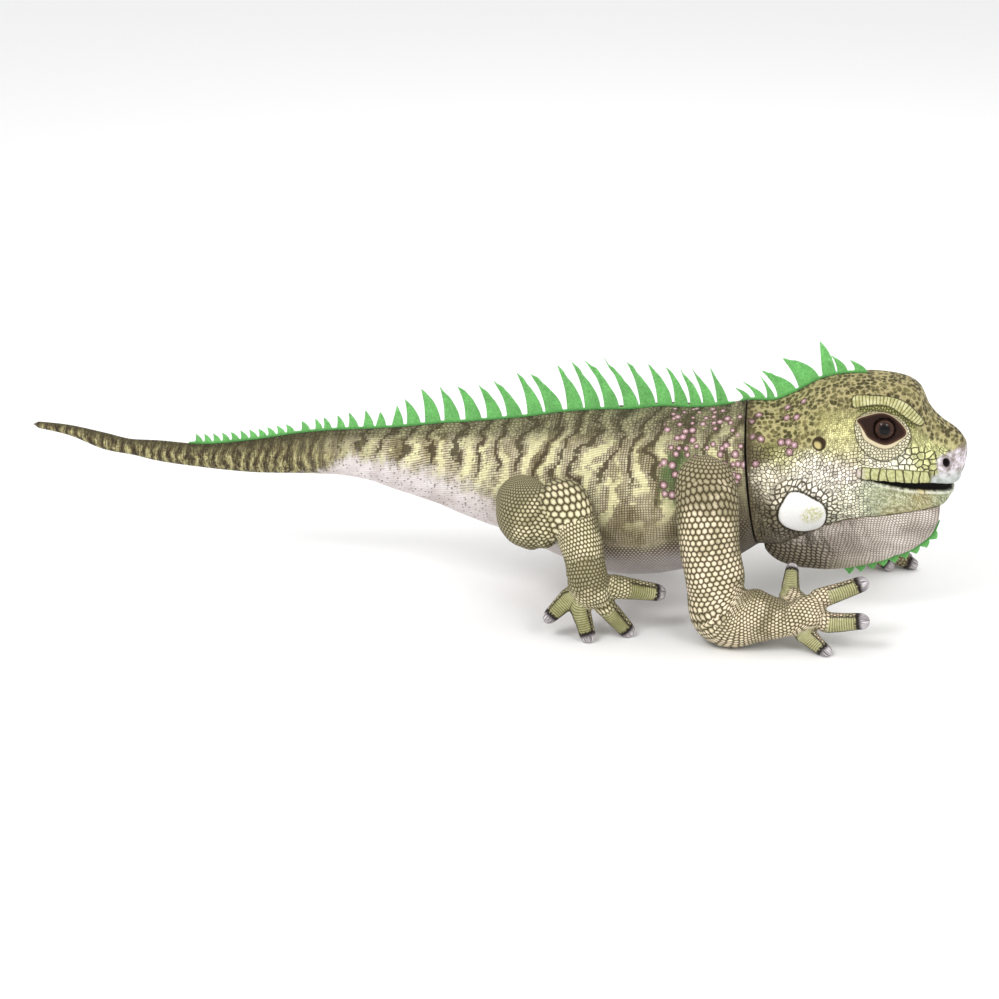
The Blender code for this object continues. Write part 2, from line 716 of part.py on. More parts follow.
for leftover in list(bpy.data.objects):
    bpy.data.objects.remove(leftover)
PARTS = bpy.data.collections.new("Plush iguana")
CUTTERS = bpy.data.collections.new("Cutters")
for collection in (PARTS, CUTTERS):
    bpy.context.scene.collection.children.link(collection)

trunk = tail_and_trunk()
neck, head = neck_and_head()
cutters = [larger(obj, 1.6 * GAP) for obj in (trunk, neck, head)]
throat_pouch(cutters)
mouth_groove(head)
eyes(head)
limbs(*cutters[:2])
crests()
stand_on_the_floor()
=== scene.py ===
import math

import bmesh
import bpy
import numpy as np
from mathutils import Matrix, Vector


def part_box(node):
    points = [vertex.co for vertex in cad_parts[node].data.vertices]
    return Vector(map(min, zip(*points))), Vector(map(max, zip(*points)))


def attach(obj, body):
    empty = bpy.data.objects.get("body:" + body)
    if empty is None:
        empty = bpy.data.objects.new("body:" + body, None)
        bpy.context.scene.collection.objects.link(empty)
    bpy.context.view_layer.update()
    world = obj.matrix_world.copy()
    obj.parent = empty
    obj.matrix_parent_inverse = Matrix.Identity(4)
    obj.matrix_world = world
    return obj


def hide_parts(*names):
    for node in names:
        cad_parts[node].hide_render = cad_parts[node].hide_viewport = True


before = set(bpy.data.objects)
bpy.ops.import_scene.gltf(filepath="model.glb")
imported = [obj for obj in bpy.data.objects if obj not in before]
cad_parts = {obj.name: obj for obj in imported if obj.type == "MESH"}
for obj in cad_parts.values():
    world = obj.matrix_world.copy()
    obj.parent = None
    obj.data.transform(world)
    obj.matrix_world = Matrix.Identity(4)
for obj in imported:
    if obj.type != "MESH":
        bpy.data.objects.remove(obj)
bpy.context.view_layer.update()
bpy.ops.object.select_all(action="DESELECT")
print("frame loaded")


def mm(lengths):
    if isinstance(lengths, (list, tuple)):
        return [mm(length) for length in lengths]
    return lengths / 1000


# tables are in the toy's own measures: X from its middle, Y from the plane between its halves,
# Z from the floor; lengths in metres, or in millimetres in mm(). toy["shift"] takes them to
# the frame
toy = {
    "shift": (0.0151, -0.0131, 0.0),
    # ridge of the back: height and width as shares of the section's, and along X where it is
    # rounded off over the shoulders and where it ends at the crown
    "ridge": 0.064,
    "ridgeWidth": 0.2,
    "shoulders": (0.135, 0.245),
    "crown": (0.34, 0.4),
    # seam of the neck: X and height of its top, lean, half the gap in it, and how deep and how
    # far to each side the skin is drawn in
    "neckSeam": 0.269,
    "seamTop": 0.232,
    "neckTilt": 0.12,
    "seamGap": 0.0004,
    "seamDepth": 0.0009,
    "seamReach": 0.0045,
    # the sections stand upright again past here
    "headSeam": 0.325,
    # how far pieces that meet stay apart
    "clear": 0.0004,
}


def curveThrough(rows, x):
    rows, x = np.array(rows, float), np.asarray(x, float)
    xs, ys = rows[:, 0], rows[:, 1:]
    slopes = np.diff(ys, axis=0) / np.diff(xs)[:, None]
    tangents = np.vstack([slopes[:1], (slopes[1:] + slopes[:-1]) / 2, slopes[-1:]])
    tangents[1:-1][slopes[1:] * slopes[:-1] <= 0] = 0
    i = np.clip(np.searchsorted(xs, x) - 1, 0, len(xs) - 2)
    width = (xs[i + 1] - xs[i])[..., None]
    t = ((np.clip(x, xs[0], xs[-1]) - xs[i])[..., None]) / width
    return (
        (2 * t**3 - 3 * t**2 + 1) * ys[i]
        + (t**3 - 2 * t**2 + t) * width * tangents[i]
        + (3 * t**2 - 2 * t**3) * ys[i + 1]
        + (t**3 - t**2) * width * tangents[i + 1]
    )


def ease(low, high, x):
    t = np.clip((np.asarray(x, float) - low) / (high - low), 0, 1)
    return t * t * (3 - 2 * t)


def points(obj, kind="co"):
    found = np.empty(len(obj.data.vertices) * 3)
    obj.data.vertices.foreach_get(kind, found)
    return found.reshape(-1, 3)


def movePoints(obj, places):
    obj.data.vertices.foreach_set("co", np.asarray(places, float).ravel())
    obj.data.update()


def swell(obj, amount):
    # moves each point out of the skin by its own amount
    movePoints(obj, points(obj) + points(obj, "normal") * np.reshape(amount, (-1, 1)))


def paint(obj, name, values):
    # one number, or three, at each vertex for the materials to read
    values = np.asarray(values, np.float32)
    kind, key = ("FLOAT_VECTOR", "vector") if values.ndim == 2 else ("FLOAT", "value")
    obj.data.attributes.new(name, kind, "POINT")
    obj.data.attributes[name].data.foreach_set(key, values.ravel())


def added(name, data):
    obj = bpy.data.objects.new(name, data)
    bpy.context.collection.objects.link(obj)
    return obj


def selectOnly(obj):
    bpy.ops.object.select_all(action="DESELECT")
    obj.select_set(True)
    bpy.context.view_layer.objects.active = obj


def applied(obj, kind, **settings):
    selectOnly(obj)
    modifier = obj.modifiers.new(kind, kind)
    for key, value in settings.items():
        setattr(modifier, key, value)
    bpy.ops.object.modifier_apply(modifier=modifier.name)
    return obj


def evened(obj, outwards=True):
    # merges doubles and turns every face outwards
    selectOnly(obj)
    bpy.ops.object.mode_set(mode="EDIT")
    bpy.ops.mesh.select_all(action="SELECT")
    bpy.ops.mesh.remove_doubles(threshold=0.00002)
    if outwards:
        bpy.ops.mesh.normals_make_consistent(inside=False)
    bpy.ops.mesh.select_all(action="DESELECT")
    bpy.ops.object.mode_set(mode="OBJECT")
    bpy.ops.object.shade_smooth()
    return obj


def rolledGrid(name, lengthways, around, shape):
    # a flat grid rolled into a closed tube; shape(u, v) gives its points, u along, v around.
    # printPlace keeps where each point is on the cloth: along it, and round from the back
    bpy.ops.mesh.primitive_grid_add(x_subdivisions=lengthways, y_subdivisions=around, size=1)
    obj = bpy.context.active_object
    obj.name = name
    flat = points(obj)
    place = shape(flat[:, 0] + 0.5, flat[:, 1] + 0.5)
    movePoints(obj, place)
    order = np.lexsort((np.round(flat[:, 1], 6), np.round(flat[:, 0], 6)))
    sheet = place[order].reshape(lengthways + 1, around + 1, 3)
    stepsRound = np.linalg.norm(np.diff(sheet, axis=1), axis=2)
    run = np.cumsum(np.pad(stepsRound, ((0, 0), (1, 0))), axis=1)
    run = np.abs(run - run[:, [around // 2]])
    stepsAlong = np.linalg.norm(np.diff(sheet[:, around // 2 :: around // 8], axis=0), axis=2)
    along = np.cumsum(np.pad(stepsAlong.mean(axis=1), (1, 0)))
    cloth = np.zeros((len(place), 3))
    cloth[order, 0] = np.repeat(along, around + 1)
    cloth[order, 1] = run.ravel()
    paint(obj, "printPlace", cloth)
    return evened(obj)


def smoothedOver(obj, values, rounds):
    # evens a painted number out over the mesh
    edges = np.empty(len(obj.data.edges) * 2, np.int64)
    obj.data.edges.foreach_get("vertices", edges)
    a, b = edges.reshape(-1, 2).T
    count = np.bincount(np.concatenate([a, b]), minlength=len(values))
    for _ in range(rounds):
        total = np.bincount(a, values[b], len(values)) + np.bincount(b, values[a], len(values))
        values = (values + total / np.maximum(count, 1)) / 2
    return values


def hill(distance, reach):
    return np.exp(-((distance / reach) ** 2))


def alongPieces(px, pz, line):
    # for each piece of a line: its ends, the nearest share of it and the distance to that
    for (ax, az), (bx, bz) in zip(line, line[1:]):
        ex, ez = bx - ax, bz - az
        t = np.clip(((px - ax) * ex + (pz - az) * ez) / (ex * ex + ez * ez), 0, 1)
        yield (ax, az), (bx, bz), t, np.hypot(px - ax - t * ex, pz - az - t * ez)


def toPolygon(px, pz, corners):
    # distance to a closed outline, below zero inside
    best, inside = np.inf, np.zeros(px.shape, bool)
    for (ax, az), (bx, bz), _, away in alongPieces(px, pz, [*corners, corners[0]]):
        best = np.minimum(best, away)
        with np.errstate(divide="ignore", invalid="ignore"):
            left = px < (bx - ax) * (pz - az) / (bz - az) + ax
        inside ^= ((az > pz) != (bz > pz)) & left
    return np.where(inside, -best, best)


def alongLine(px, pz, line):
    # distance to an open line, and how far along it the nearest place is
    best, place, run = np.inf, 0.0, 0.0
    for a, b, t, away in alongPieces(px, pz, line):
        size = math.dist(a, b)
        place = np.where(away < best, run + t * size, place)
        best = np.minimum(best, away)
        run += size
    return best, place


def roundedOutline(corners, between=8):
    # a closed outline through the corners, without kinks
    c = np.array(corners)
    t = np.arange(between)[:, None] / between
    before, after, later = np.roll(c, 1, 0), np.roll(c, -1, 0), np.roll(c, -2, 0)
    made = []
    for p0, p1, p2, p3 in zip(before, c, after, later):
        bend = (2 * p0 - 5 * p1 + 4 * p2 - p3) * t**2 + (3 * (p1 - p2) + p3 - p0) * t**3
        made.append((2 * p1 + (p2 - p0) * t + bend) / 2)
    return np.concatenate(made)


def finished(obj, nodes, material):
    # to its place in the frame, with its finish and what it stands for
    movePoints(obj, points(obj) + np.array(toy["shift"]))
    obj.data.materials.clear()
    obj.data.materials.append(material)
    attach(obj, "root")
    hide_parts(*nodes)
    return obj


class Value:
    # an output of a node; sums and products of it add the nodes that work them out
    def __init__(self, socket):
        self.socket = socket

    def __add__(self, other):
        return calc("ADD", self, other)

    def __sub__(self, other):
        return calc("SUBTRACT", self, other)

    def __rsub__(self, other):
        return calc("SUBTRACT", other, self)

    def __mul__(self, other):
        return calc("MULTIPLY", self, other)

    def __truediv__(self, other):
        return calc("DIVIDE", self, other)

    def __abs__(self):
        return calc("ABSOLUTE", self)


# the node tree that the functions below add to
current = {}


def newMaterial(name):
    made = bpy.data.materials.new(name)
    made.use_nodes = True
    current["tree"] = made.node_tree
    return made, made.node_tree.nodes["Principled BSDF"]


def feed(made, feeds):
    for key, value in feeds.items():
        if isinstance(value, Value):
            current["tree"].links.new(value.socket, made.inputs[key])
        else:
            made.inputs[key].default_value = value


def addNode(kind, feeds, **settings):
    made = current["tree"].nodes.new("ShaderNode" + kind)
    for key, value in settings.items():
        setattr(made, key, value)
    feed(made, feeds)
    return made


def node(kind, feeds, output=0, **settings):
    return Value(addNode(kind, feeds, **settings).outputs[output])


def calc(operation, *values):
    return node("Math", dict(enumerate(values)), operation=operation)


def vector(operation, *values):
    output = "Value" if operation in ("LENGTH", "DISTANCE") else "Vector"
    return node("VectorMath", dict(enumerate(values)), output, operation=operation)


def steps(value, low, high, start=0.0, end=1.0):
    feeds = {"Value": value, "From Min": low, "From Max": high, "To Min": start, "To Max": end}
    return node("MapRange", feeds, interpolation_type="SMOOTHSTEP")


def mixed(share, first, second):
    return node("Mix", {0: share, 2: first, 3: second})


def blend(share, first, second):
    # from the first colour to the second
    first, second = (c if isinstance(c, Value) else (*c, 1) for c in (first, second))
    return node("Mix", {0: share, 6: first, 7: second}, 2, data_type="RGBA")


def layered(colour, *layers):
    for share, tint in layers:
        colour = blend(share, colour, tint)
    return colour


def toned(colour, tone):
    return node("HueSaturation", {"Value": tone, "Color": colour})


def shades(value, *stops):
    made = addNode("ValToRGB", {"Fac": value})
    ramp = made.color_ramp
    while len(ramp.elements) < len(stops):
        ramp.elements.new(0.5)
    for element, (place, colour) in zip(ramp.elements, stops):
        element.position = place
        element.color = (*colour, 1)
    return Value(made.outputs[0])


def painted(name, output="Fac"):
    return node("Attribute", {}, output, attribute_name=name)


def parts(place):
    return tuple(map(Value, addNode("SeparateXYZ", {"Vector": place}).outputs))


def joined(x, y):
    return node("CombineXYZ", {"X": x, "Y": y})


def stretched(place, scale, offset=(0, 0, 0)):
    return node("Mapping", {"Vector": place, "Scale": scale, "Location": offset})


def cloudy(place, scale, detail=2.0, rough=0.5, output="Fac"):
    feeds = {"Vector": place, "Scale": scale, "Detail": detail, "Roughness": rough}
    return node("TexNoise", feeds, output)


def streaked(place, scale, detail, rough=0.5, offset=(0, 0)):
    # noise of another size each way
    return cloudy(stretched(place, (*scale, 0), (*offset, 0)), 1.0, detail, rough)


def warped(place, scale, amount, detail=2.0):
    # the place moved about by soft noise, so that a print isn't ruled
    away = vector("SUBTRACT", cloudy(place, scale, detail, output="Color"), (0.5, 0.5, 0.5))
    return vector("ADD", place, node("VectorMath", {0: away, "Scale": amount}, operation="SCALE"))


def spotsOn(place, scale, randomness=1.0, kind="2D"):
    # distance to the nearest of scattered places, and two chance numbers of it
    feeds = {"Vector": place, "Scale": scale, "Randomness": randomness}
    made = addNode("TexVoronoi", feeds, voronoi_dimensions=kind)
    red, green, _ = parts(Value(made.outputs["Color"]))
    return Value(made.outputs["Distance"]), red, green


def makeScaleCells():
    # staggered six-sided cells: how far from a cell's middle and edge, and a chance number each
    tree = current["tree"] = bpy.data.node_groups.new("scaleCells", "ShaderNodeTree")
    tree.interface.new_socket("Place", in_out="INPUT", socket_type="NodeSocketVector")
    for name in ("Edge", "Middle", "Chance"):
        tree.interface.new_socket(name, in_out="OUTPUT", socket_type="NodeSocketFloat")
    start = tree.nodes.new("NodeGroupInput")
    end = tree.nodes.new("NodeGroupOutput")
    root3 = 1.7320508
    size, half = (1, root3, 1), (0.5, root3 / 2, 0)
    place = vector("ADD", Value(start.outputs["Place"]), (300, 300 * root3, 0))
    flat = vector("MULTIPLY", place, (1, 1, 0))
    one = vector("SUBTRACT", vector("MODULO", flat, size), half)
    other = vector("SUBTRACT", vector("MODULO", vector("ADD", flat, half), size), half)
    nearer = calc("LESS_THAN", vector("LENGTH", other), vector("LENGTH", one))
    inCell = node("Mix", {0: nearer, 4: one, 5: other}, 1, data_type="VECTOR")
    across = parts(vector("ABSOLUTE", inCell))
    reach = calc("MAXIMUM", across[0], across[1] * (root3 / 2) + across[0] * 0.5)
    own = vector("ADD", vector("SUBTRACT", flat, inCell), (0.25, root3 / 4, 0.5))
    own = vector("SNAP", own, (0.5, root3 / 2, 0.5))
    chance = node("TexWhiteNoise", {"Vector": own}, "Value", noise_dimensions="3D")
    feed(end, {"Edge": 0.5 - reach, "Middle": vector("LENGTH", inCell), "Chance": chance})
    return tree


scaleCells = makeScaleCells()


def cells(place, width, height):
    # cells of that width and height in metres; returns edge, middle and chance
    made = current["tree"].nodes.new("ShaderNodeGroup")
    made.node_tree = scaleCells
    feed(made, {"Place": stretched(place, (1 / width, 1 / height, 0))})
    return tuple(Value(made.outputs[name]) for name in ("Edge", "Middle", "Chance"))


def netOf(place, scale, wander, low, high, kind="2D"):
    # irregular cells: strength of the lines between them, a chance number and the middle
    loose = warped(place, 160, wander)
    feeds = {"Vector": loose, "Scale": scale, "Randomness": 0.75}
    settings = {"voronoi_dimensions": kind, "feature": "DISTANCE_TO_EDGE"}
    edge = node("TexVoronoi", feeds, "Distance", **settings)
    middle, chance, _ = spotsOn(loose, scale, 0.75, kind)
    return steps(edge, high, low), chance, middle


def ruled(value, pitch, wide):
    # strength of thin lines at even spacing
    away = abs(calc("FRACT", value * (1 / pitch)) - 0.5)
    return steps(away, 0.5 - wide, 0.5 - 0.35 * wide)


def hillNode(value, middle, reach):
    return steps(abs(value - middle), reach, 0.0)


def bumped(shader, height, strength, distance):
    feeds = {"Strength": strength, "Distance": distance, "Height": height}
    feed(shader, {"Normal": node("Bump", feeds)})


def plushFinish(shader, colour, relief, strength=0.35):
    # short matt nap over the print and its relief
    feed(shader, {
        "Base Color": colour, "Roughness": 0.86, "Sheen Weight": 0.05, "Sheen Roughness": 0.45,
        "Specular IOR Level": 0.12,
    })
    where = node("TexCoord", {}, "Object")
    nap = cloudy(where, 1400, 3.0, 0.6) * 0.45 + cloudy(where, 260) * 0.5
    bumped(shader, relief * 0.8 + nap, strength, 0.0006)


body = {
    # along X, height of the middle, radius
    "rows": mm([
        (-531, 161.8, 3.4), (-490, 157, 5.8), (-449, 146.4, 9.3), (-415, 141.2, 8.8),
        (-390, 139, 11.2), (-344, 136.1, 12.5), (-278, 138.9, 17.8), (-224, 145.5, 22.1),
        (-185, 148.9, 24.2), (-145, 148.8, 28), (-111, 145.9, 34.4), (-66, 143, 43.7),
        (-33, 139.2, 51), (34, 132.5, 66.5), (67, 128.4, 76.5), (111, 125.4, 87.3),
        (144, 126.2, 91.4), (177, 130.2, 92.5), (212, 135.5, 88), (246, 144.5, 83),
    ]),
    "tip": -0.5326,
    "lengthways": 330,
    "around": 120,
    "lumps": 0.0007,
    "lumpSize": 0.035,
    # X, Z and reach of the dark green patch on the shoulder
    "green": (0.209, 0.17, 0.031),
    # length and height of the small printed scales
    "scale": (0.0029, 0.0027),
    # height, as a share of the section, up to which the underside is pale
    "paleUpTo": [
        (-0.54, -0.3), (-0.31, -0.26), (-0.245, -0.08), (-0.205, 0.08), (-0.182, 0.3),
        (-0.16, 0.56), (-0.12, 0.56), (-0.04, 0.5), (0.03, 0.34), (0.1, 0.16), (0.3, 0.14),
    ],
}
# neck and head: along X, top, bottom, half width
headRows = mm([
    (269, 235, 76.5, 74.5), (300, 237.2, 79, 67), (322, 248, 86, 63.5), (346, 263, 96, 61),
    (369, 270, 104, 59), (391, 271.8, 109, 55.5), (424, 271.2, 113.5, 49), (441, 267, 117, 44),
    (451, 259, 119.5, 40.5), (461, 240, 123, 36.6), (474, 226.2, 128.5, 31.2),
    (484, 220.2, 135, 26.5), (489.3, 216.6, 146, 23.2), (493.5, 212.8, 159, 20),
    (498, 207.5, 169, 15), (500.8, 201.5, 177.5, 9.5), (502.4, 193.5, 189.5, 0.4),
])


def ridgeAt(x):
    rear, front = toy["shoulders"]
    rounded = ease(rear - 0.05, rear, x) * (1 - ease(front - 0.01, front + 0.03, x))
    return toy["ridge"] * (1 - rounded) * (1 - ease(*toy["crown"], x))


# along X, top, bottom, half width, and the power of the section's outline
bodyRows = [(x, z + r * (1 + ridgeAt(x)), z - r, r, 2.05) for x, z, r in body["rows"]]
bodyRows += [(*row, 2.05 + 0.3 * ease(0.27, 0.36, row[0])) for row in headRows]


def section(x, turn):
    # point of the skin at x, at the angle turn from +Y over the back
    top, bottom, half, power = np.moveaxis(curveThrough(bodyRows, x), -1, 0)
    ridge = ridgeAt(x)
    middle = (top + bottom * (1 + ridge)) / (2 + ridge)
    up = (top - middle) / (1 + ridge)
    c, s = np.cos(turn), np.sin(turn)
    y = half * np.copysign(np.abs(c) ** (2 / power), c)
    z = up * np.copysign(np.abs(s) ** (2 / power), s)
    z = z + np.where(z > 0, ridge * up * hill(y, toy["ridgeWidth"] * half), 0)
    seam, head = toy["neckSeam"], toy["headSeam"]
    tilt = toy["neckTilt"] * ease(0.17, seam, x) * (1 - ease(seam, head + 0.04, x))
    return np.stack([x + tilt * (toy["seamTop"] - middle - z), y, middle + z], -1)


def softLumps(places, size, amount, seed=0.0):
    # slow unevenness of stuffed cloth
    x, y, z = (places / size + seed).T
    waves = np.sin(2.1 * x + 1.3 * z) + np.sin(1.7 * y - 2.3 * x + 1.1)
    waves += np.sin(2.9 * z + 1.9 * y + 0.4) + 0.6 * np.sin(5.1 * x - 3.7 * z + y)
    return amount * waves / 3.6


def awayFromCrest(place):
    # the skin keeps to its line where the felt is sewn on
    return ease(0.002, 0.01, np.abs(place[:, 1]))


def turnAt(v):
    # the angle from +Y over the back, for a share of the way round that starts below
    return math.pi / 2 + 2 * math.pi * (v - 0.5)


def bodyShape(u, v):
    start, end = body["rows"][0][0], toy["neckSeam"] - toy["seamGap"]
    x = start + (end - start) * u
    turn = turnAt(v)
    place = section(x, turn)
    # closed to a point at the tip
    shut = np.where(u <= 0, 0, ease(start, start + 0.006, place[:, 0]) ** 0.5)
    centre = curveThrough([row[:2] for row in body["rows"]], x)[:, 0]
    place[:, 1] *= shut
    place[:, 2] = centre + (place[:, 2] - centre) * shut
    place[:, 0] = np.where(u <= 0, body["tip"], place[:, 0])
    return place


def fillNeck(obj):
    # closes the open end at the neck seam
    selectOnly(obj)
    bpy.ops.object.mode_set(mode="EDIT")
    bpy.ops.mesh.select_non_manifold()
    bpy.ops.mesh.edge_face_add()
    bpy.ops.mesh.inset(thickness=0.006, depth=0.0)
    bpy.ops.mesh.select_all(action="DESELECT")
    bpy.ops.object.mode_set(mode="OBJECT")


def fromSeam(place):
    # distance before the neck seam, which leans forward towards its foot
    return place[:, 0] - toy["neckSeam"] - toy["neckTilt"] * (toy["seamTop"] - place[:, 2])


def drawnIn(place):
    # the skin is drawn in along the seam of the neck
    return toy["seamDepth"] * hill(fromSeam(place), toy["seamReach"])


def makeBody():
    obj = rolledGrid("bodySkin", body["lengthways"], body["around"], bodyShape)
    fillNeck(obj)
    place = points(obj)
    amount = softLumps(place, body["lumpSize"], body["lumps"]) * ease(-0.4, 0.0, place[:, 0])
    amount = amount * awayFromCrest(place) - drawnIn(place) * (fromSeam(place) < 0)
    swell(obj, amount)
    return obj


def paintBody(obj):
    place = points(obj)
    x, seam = place[:, 0], fromSeam(place)
    top, bottom, _, _ = np.moveaxis(curveThrough(bodyRows, x), -1, 0)
    share = np.clip((place[:, 2] - bottom) / (top - bottom), 0, 1)
    paint(obj, "share", share)
    paint(obj, "pale", curveThrough(body["paleUpTo"], x)[:, 0] - share)
    paint(obj, "tailwards", 1 - ease(-0.24, -0.08, x))
    paint(obj, "dotted", ease(0.155, 0.215, x) * ease(0.52, 0.64, share))
    greenX, greenZ, greenReach = body["green"]
    away = np.hypot(x - greenX, (place[:, 2] - greenZ) * 0.9)
    paint(obj, "green", hill(away, greenReach))
    # where the body's painted shade goes: low on the neck before its seam, and along the seam
    under = ease(-0.046, -0.012, seam) * (1 - ease(0.44, 0.7, share))
    paint(obj, "drawnIn", under + 0.8 * hill(seam, 0.008))


def largerCopy(obj):
    # cuts other pieces, so that they end just clear of this one
    made = added(obj.name + "Cutter", obj.data.copy())
    swell(made, toy["clear"])
    return made


def pinkDot(colour, rim, heart, bright):
    return layered(
        colour, (rim * 0.85, (0.085, 0.048, 0.045)), (heart, (0.4, 0.235, 0.25)),
        (bright, (0.7, 0.56, 0.58)),
    )


def bodyPrint():
    made, shader = newMaterial("bodyPrint")
    place = painted("printPlace", "Vector")
    along = parts(place)[0]
    share = painted("share")
    tailwards = painted("tailwards")
    # rows of small scales; each has one tone, taken at its own middle
    rowsPlace = warped(place, 50, 0.004, 1.0)
    rowX, rowY, _ = parts(rowsPlace)
    own = vector("SNAP", rowsPlace, (*body["scale"], 1))
    ownChance = node("TexWhiteNoise", {"Vector": own}, "Value", noise_dimensions="3D")
    tile = node("Mix", {0: 0.95, 4: place, 5: own}, 1, data_type="VECTOR")
    loose = warped(tile, 30, 0.016, 4.0)
    looseAlong, looseAround, _ = parts(loose)
    # blotches, stretched from the back to the belly
    blotch = streaked(loose, (46, 17), 5.0, 0.65)
    colour = shades(
        blotch, (0.34, (0.2, 0.17, 0.085)), (0.43, (0.42, 0.365, 0.21)), (0.52, (0.62, 0.55, 0.37)),
        (0.6, (0.74, 0.69, 0.44)), (0.7, (0.8, 0.77, 0.41)),
    )
    # ragged dark bands down from the back, each with a yellow green blotch before it
    slant = looseAround * 0.16 + looseAlong
    wander = streaked(tile, (30, 44), 4.0, 0.65, (2, 7))
    slow = streaked(tile, (13, 19), 2.0, offset=(6, 3))
    phase = calc("FRACT", slow * 2.6 + slant / 0.027 + wander)
    torn = streaked(loose, (130, 60), 4.0, 0.7, (9, 1))
    band = steps(phase, 0.14, 0.3) * steps(phase, 0.52, 0.34) * (steps(share, 0.4, 0.92) + 0.1)
    band = steps(torn * 1.9 + band, 1.28, 1.62)
    light = steps(phase, 0.5, 0.62) * steps(phase, 1.0, 0.84)
    light += (streaked(tile, (34, 26), 2.0, offset=(1, 8)) - 0.5) * 3.2
    light = steps(torn * 1.6 + light, 1.32, 1.7) * steps(share, 0.34, 0.54)
    colour = layered(colour, (light * 0.78, (0.85, 0.81, 0.46)), (band * 0.9, (0.05, 0.04, 0.018)))
    dim = streaked(loose, (30, 12), 3.0, offset=(4, 9))
    dim = steps(dim, 0.42, 0.58, 0.55, 1.0) * steps(share, 0.62, 0.42)
    colour = layered(
        colour, (dim * 0.38, (0.15, 0.122, 0.074)), (ownChance * 0.24, (0.15, 0.12, 0.06))
    )
    # rings of the tail, broken into streaks
    loose = warped(place, 30, 0.016, 4.0)
    ringPhase = calc("FRACT", wander * 2.0 + parts(loose)[0] / 0.0125 + slow * 2.0)
    ringed = abs(ringPhase - 0.5) * 0.55 + streaked(loose, (460, 80), 4.0, 0.75) * 1.32
    rings = shades(
        ringed, (0.62, (0.036, 0.028, 0.017)), (0.75, (0.105, 0.086, 0.044)),
        (0.86, (0.235, 0.205, 0.095)), (0.99, (0.5, 0.46, 0.23)),
    )
    rings = blend(steps(share, 0.55, 0.85) * 0.6, rings, (0.05, 0.04, 0.022))
    colour = blend(tailwards, colour, rings)
    # grid of small scales: rows always, the lines across them only on the sides
    long, high = body["scale"]
    onBlotch = steps(calc("MAXIMUM", light, steps(blotch, 0.56, 0.66)), 0.9, 0.1, 0.15, 1.0)
    downLine = ruled(rowX, long, 0.3) * onBlotch * steps(along, 0.44, 0.62)
    acrossLine = ruled(rowY, high, 0.3) * steps(onBlotch, 0.0, 1.0, 0.45, 1.0)
    fade = steps(cloudy(place, 42, 3.0), 0.34, 0.6, 0.7, 1.0)
    grid = calc("MAXIMUM", downLine, acrossLine) * fade * steps(tailwards, 0.1, 0.8, 0.84, 0.2)
    # belly: six-sided net on a greyish ground
    netEdge, netMiddle, _ = cells(rowsPlace, 0.004, 0.0036)
    low = steps(wander * 0.2 + share, 0.48, 0.36) * steps(along, 0.52, 0.6)
    # painted light from below: the lowest of the belly is made pale lilac with fainter net lines,
    # except where the neck is drawn in
    lowest = steps(share, 0.32, 0.14) * steps(painted("drawnIn"), 0.5, 0.1)
    bellyColour = blend(steps(netMiddle, 0.36, 0.06), (0.2, 0.16, 0.11), (0.52, 0.46, 0.36))
    bellyColour = blend(lowest * 0.75, bellyColour, (0.78, 0.72, 0.74))
    netLine = steps(netEdge, 0.24, 0.08) * steps(lowest, 0.0, 1.0, 1.0, 0.45)
    colour = blend(low * 0.88, colour, bellyColour)
    # pale underside
    under = steps(streaked(place, (140, 60), 5.0, 0.75) * 0.7 + painted("pale"), 0.2, 0.5)
    paleColour = shades(
        cloudy(place, 45, 3.0), (0.35, (0.6, 0.53, 0.51)), (0.65, (0.78, 0.72, 0.71))
    )
    paleShare = under * steps(low, 0.0, 1.0, 1.0, 0.45)
    colour = blend(paleShare, colour, paleColour)
    lines = calc("MAXIMUM", grid * steps(low, 0.6, 0.1), netLine * (low * 0.85))
    lines *= steps(paleShare, 0.0, 1.0, 1.0, 0.3)
    colour = blend(lines, colour, (0.062, 0.044, 0.028))
    # darker and scaly along the back
    backLine = netOf(place, 210, 0.003, 0.1, 0.3)[0]
    backShade = steps(wander * 0.1 + share, 0.86, 1.02)
    colour = blend(backShade * 0.55, colour, (0.09, 0.08, 0.04))
    onBack = steps(steps(share, 0.97, 0.86), 1.0, 0.0)
    colour = blend(backLine * onBack * 0.6, colour, (0.035, 0.03, 0.016))
    # dark green patch of the shoulder
    greenPlace = steps(torn * 0.8 + painted("green"), 0.75, 1.15) * 0.75
    colour = blend(greenPlace, colour, (0.06, 0.115, 0.035))
    # darker blotches among the dots of the shoulders
    dotted = painted("dotted")
    smudge = steps(streaked(place, (75, 60), 4.0, 0.7, (5, 5)), 0.46, 0.62) * dotted
    colour = blend(smudge * 0.5, colour, (0.085, 0.082, 0.036))
    # painted shade where the neck is drawn in: low between arm and head, and along the seam
    drawn = steps((torn - 0.5) * 1.6 + painted("drawnIn"), 0.2, 0.95, 0.0, 0.64)
    colour = blend(drawn, colour, (0.06, 0.048, 0.028))
    # specks
    away, chance, _ = spotsOn(warped(place, 200, 0.003, 1.0), 250.0)
    specks = steps(away, 0.34, 0.18) * steps(chance, 0.45, 0.9)
    specks *= steps(steps(along, 0.6, 0.5), 0.0, 1.0, 0.1, 0.75)
    colour = blend(specks, colour, (0.07, 0.05, 0.045))
    # raised pink dots of the shoulders
    away, red, chance = spotsOn(warped(place, 300, 0.0016, 1.0), 98.0, 0.95)
    away *= steps(red, 0.0, 1.0, 0.85, 1.35)
    chosen = steps(steps(chance, 0.36, 0.38) * dotted, 0.45, 0.55)
    rim, heart, bright = (
        steps(away, *ends) * chosen for ends in ((0.5, 0.38), (0.34, 0.24), (0.17, 0.06))
    )
    colour = pinkDot(colour, rim, heart, bright)
    plushFinish(shader, colour, (1.0 - lines) * 0.5 + heart)
    return made


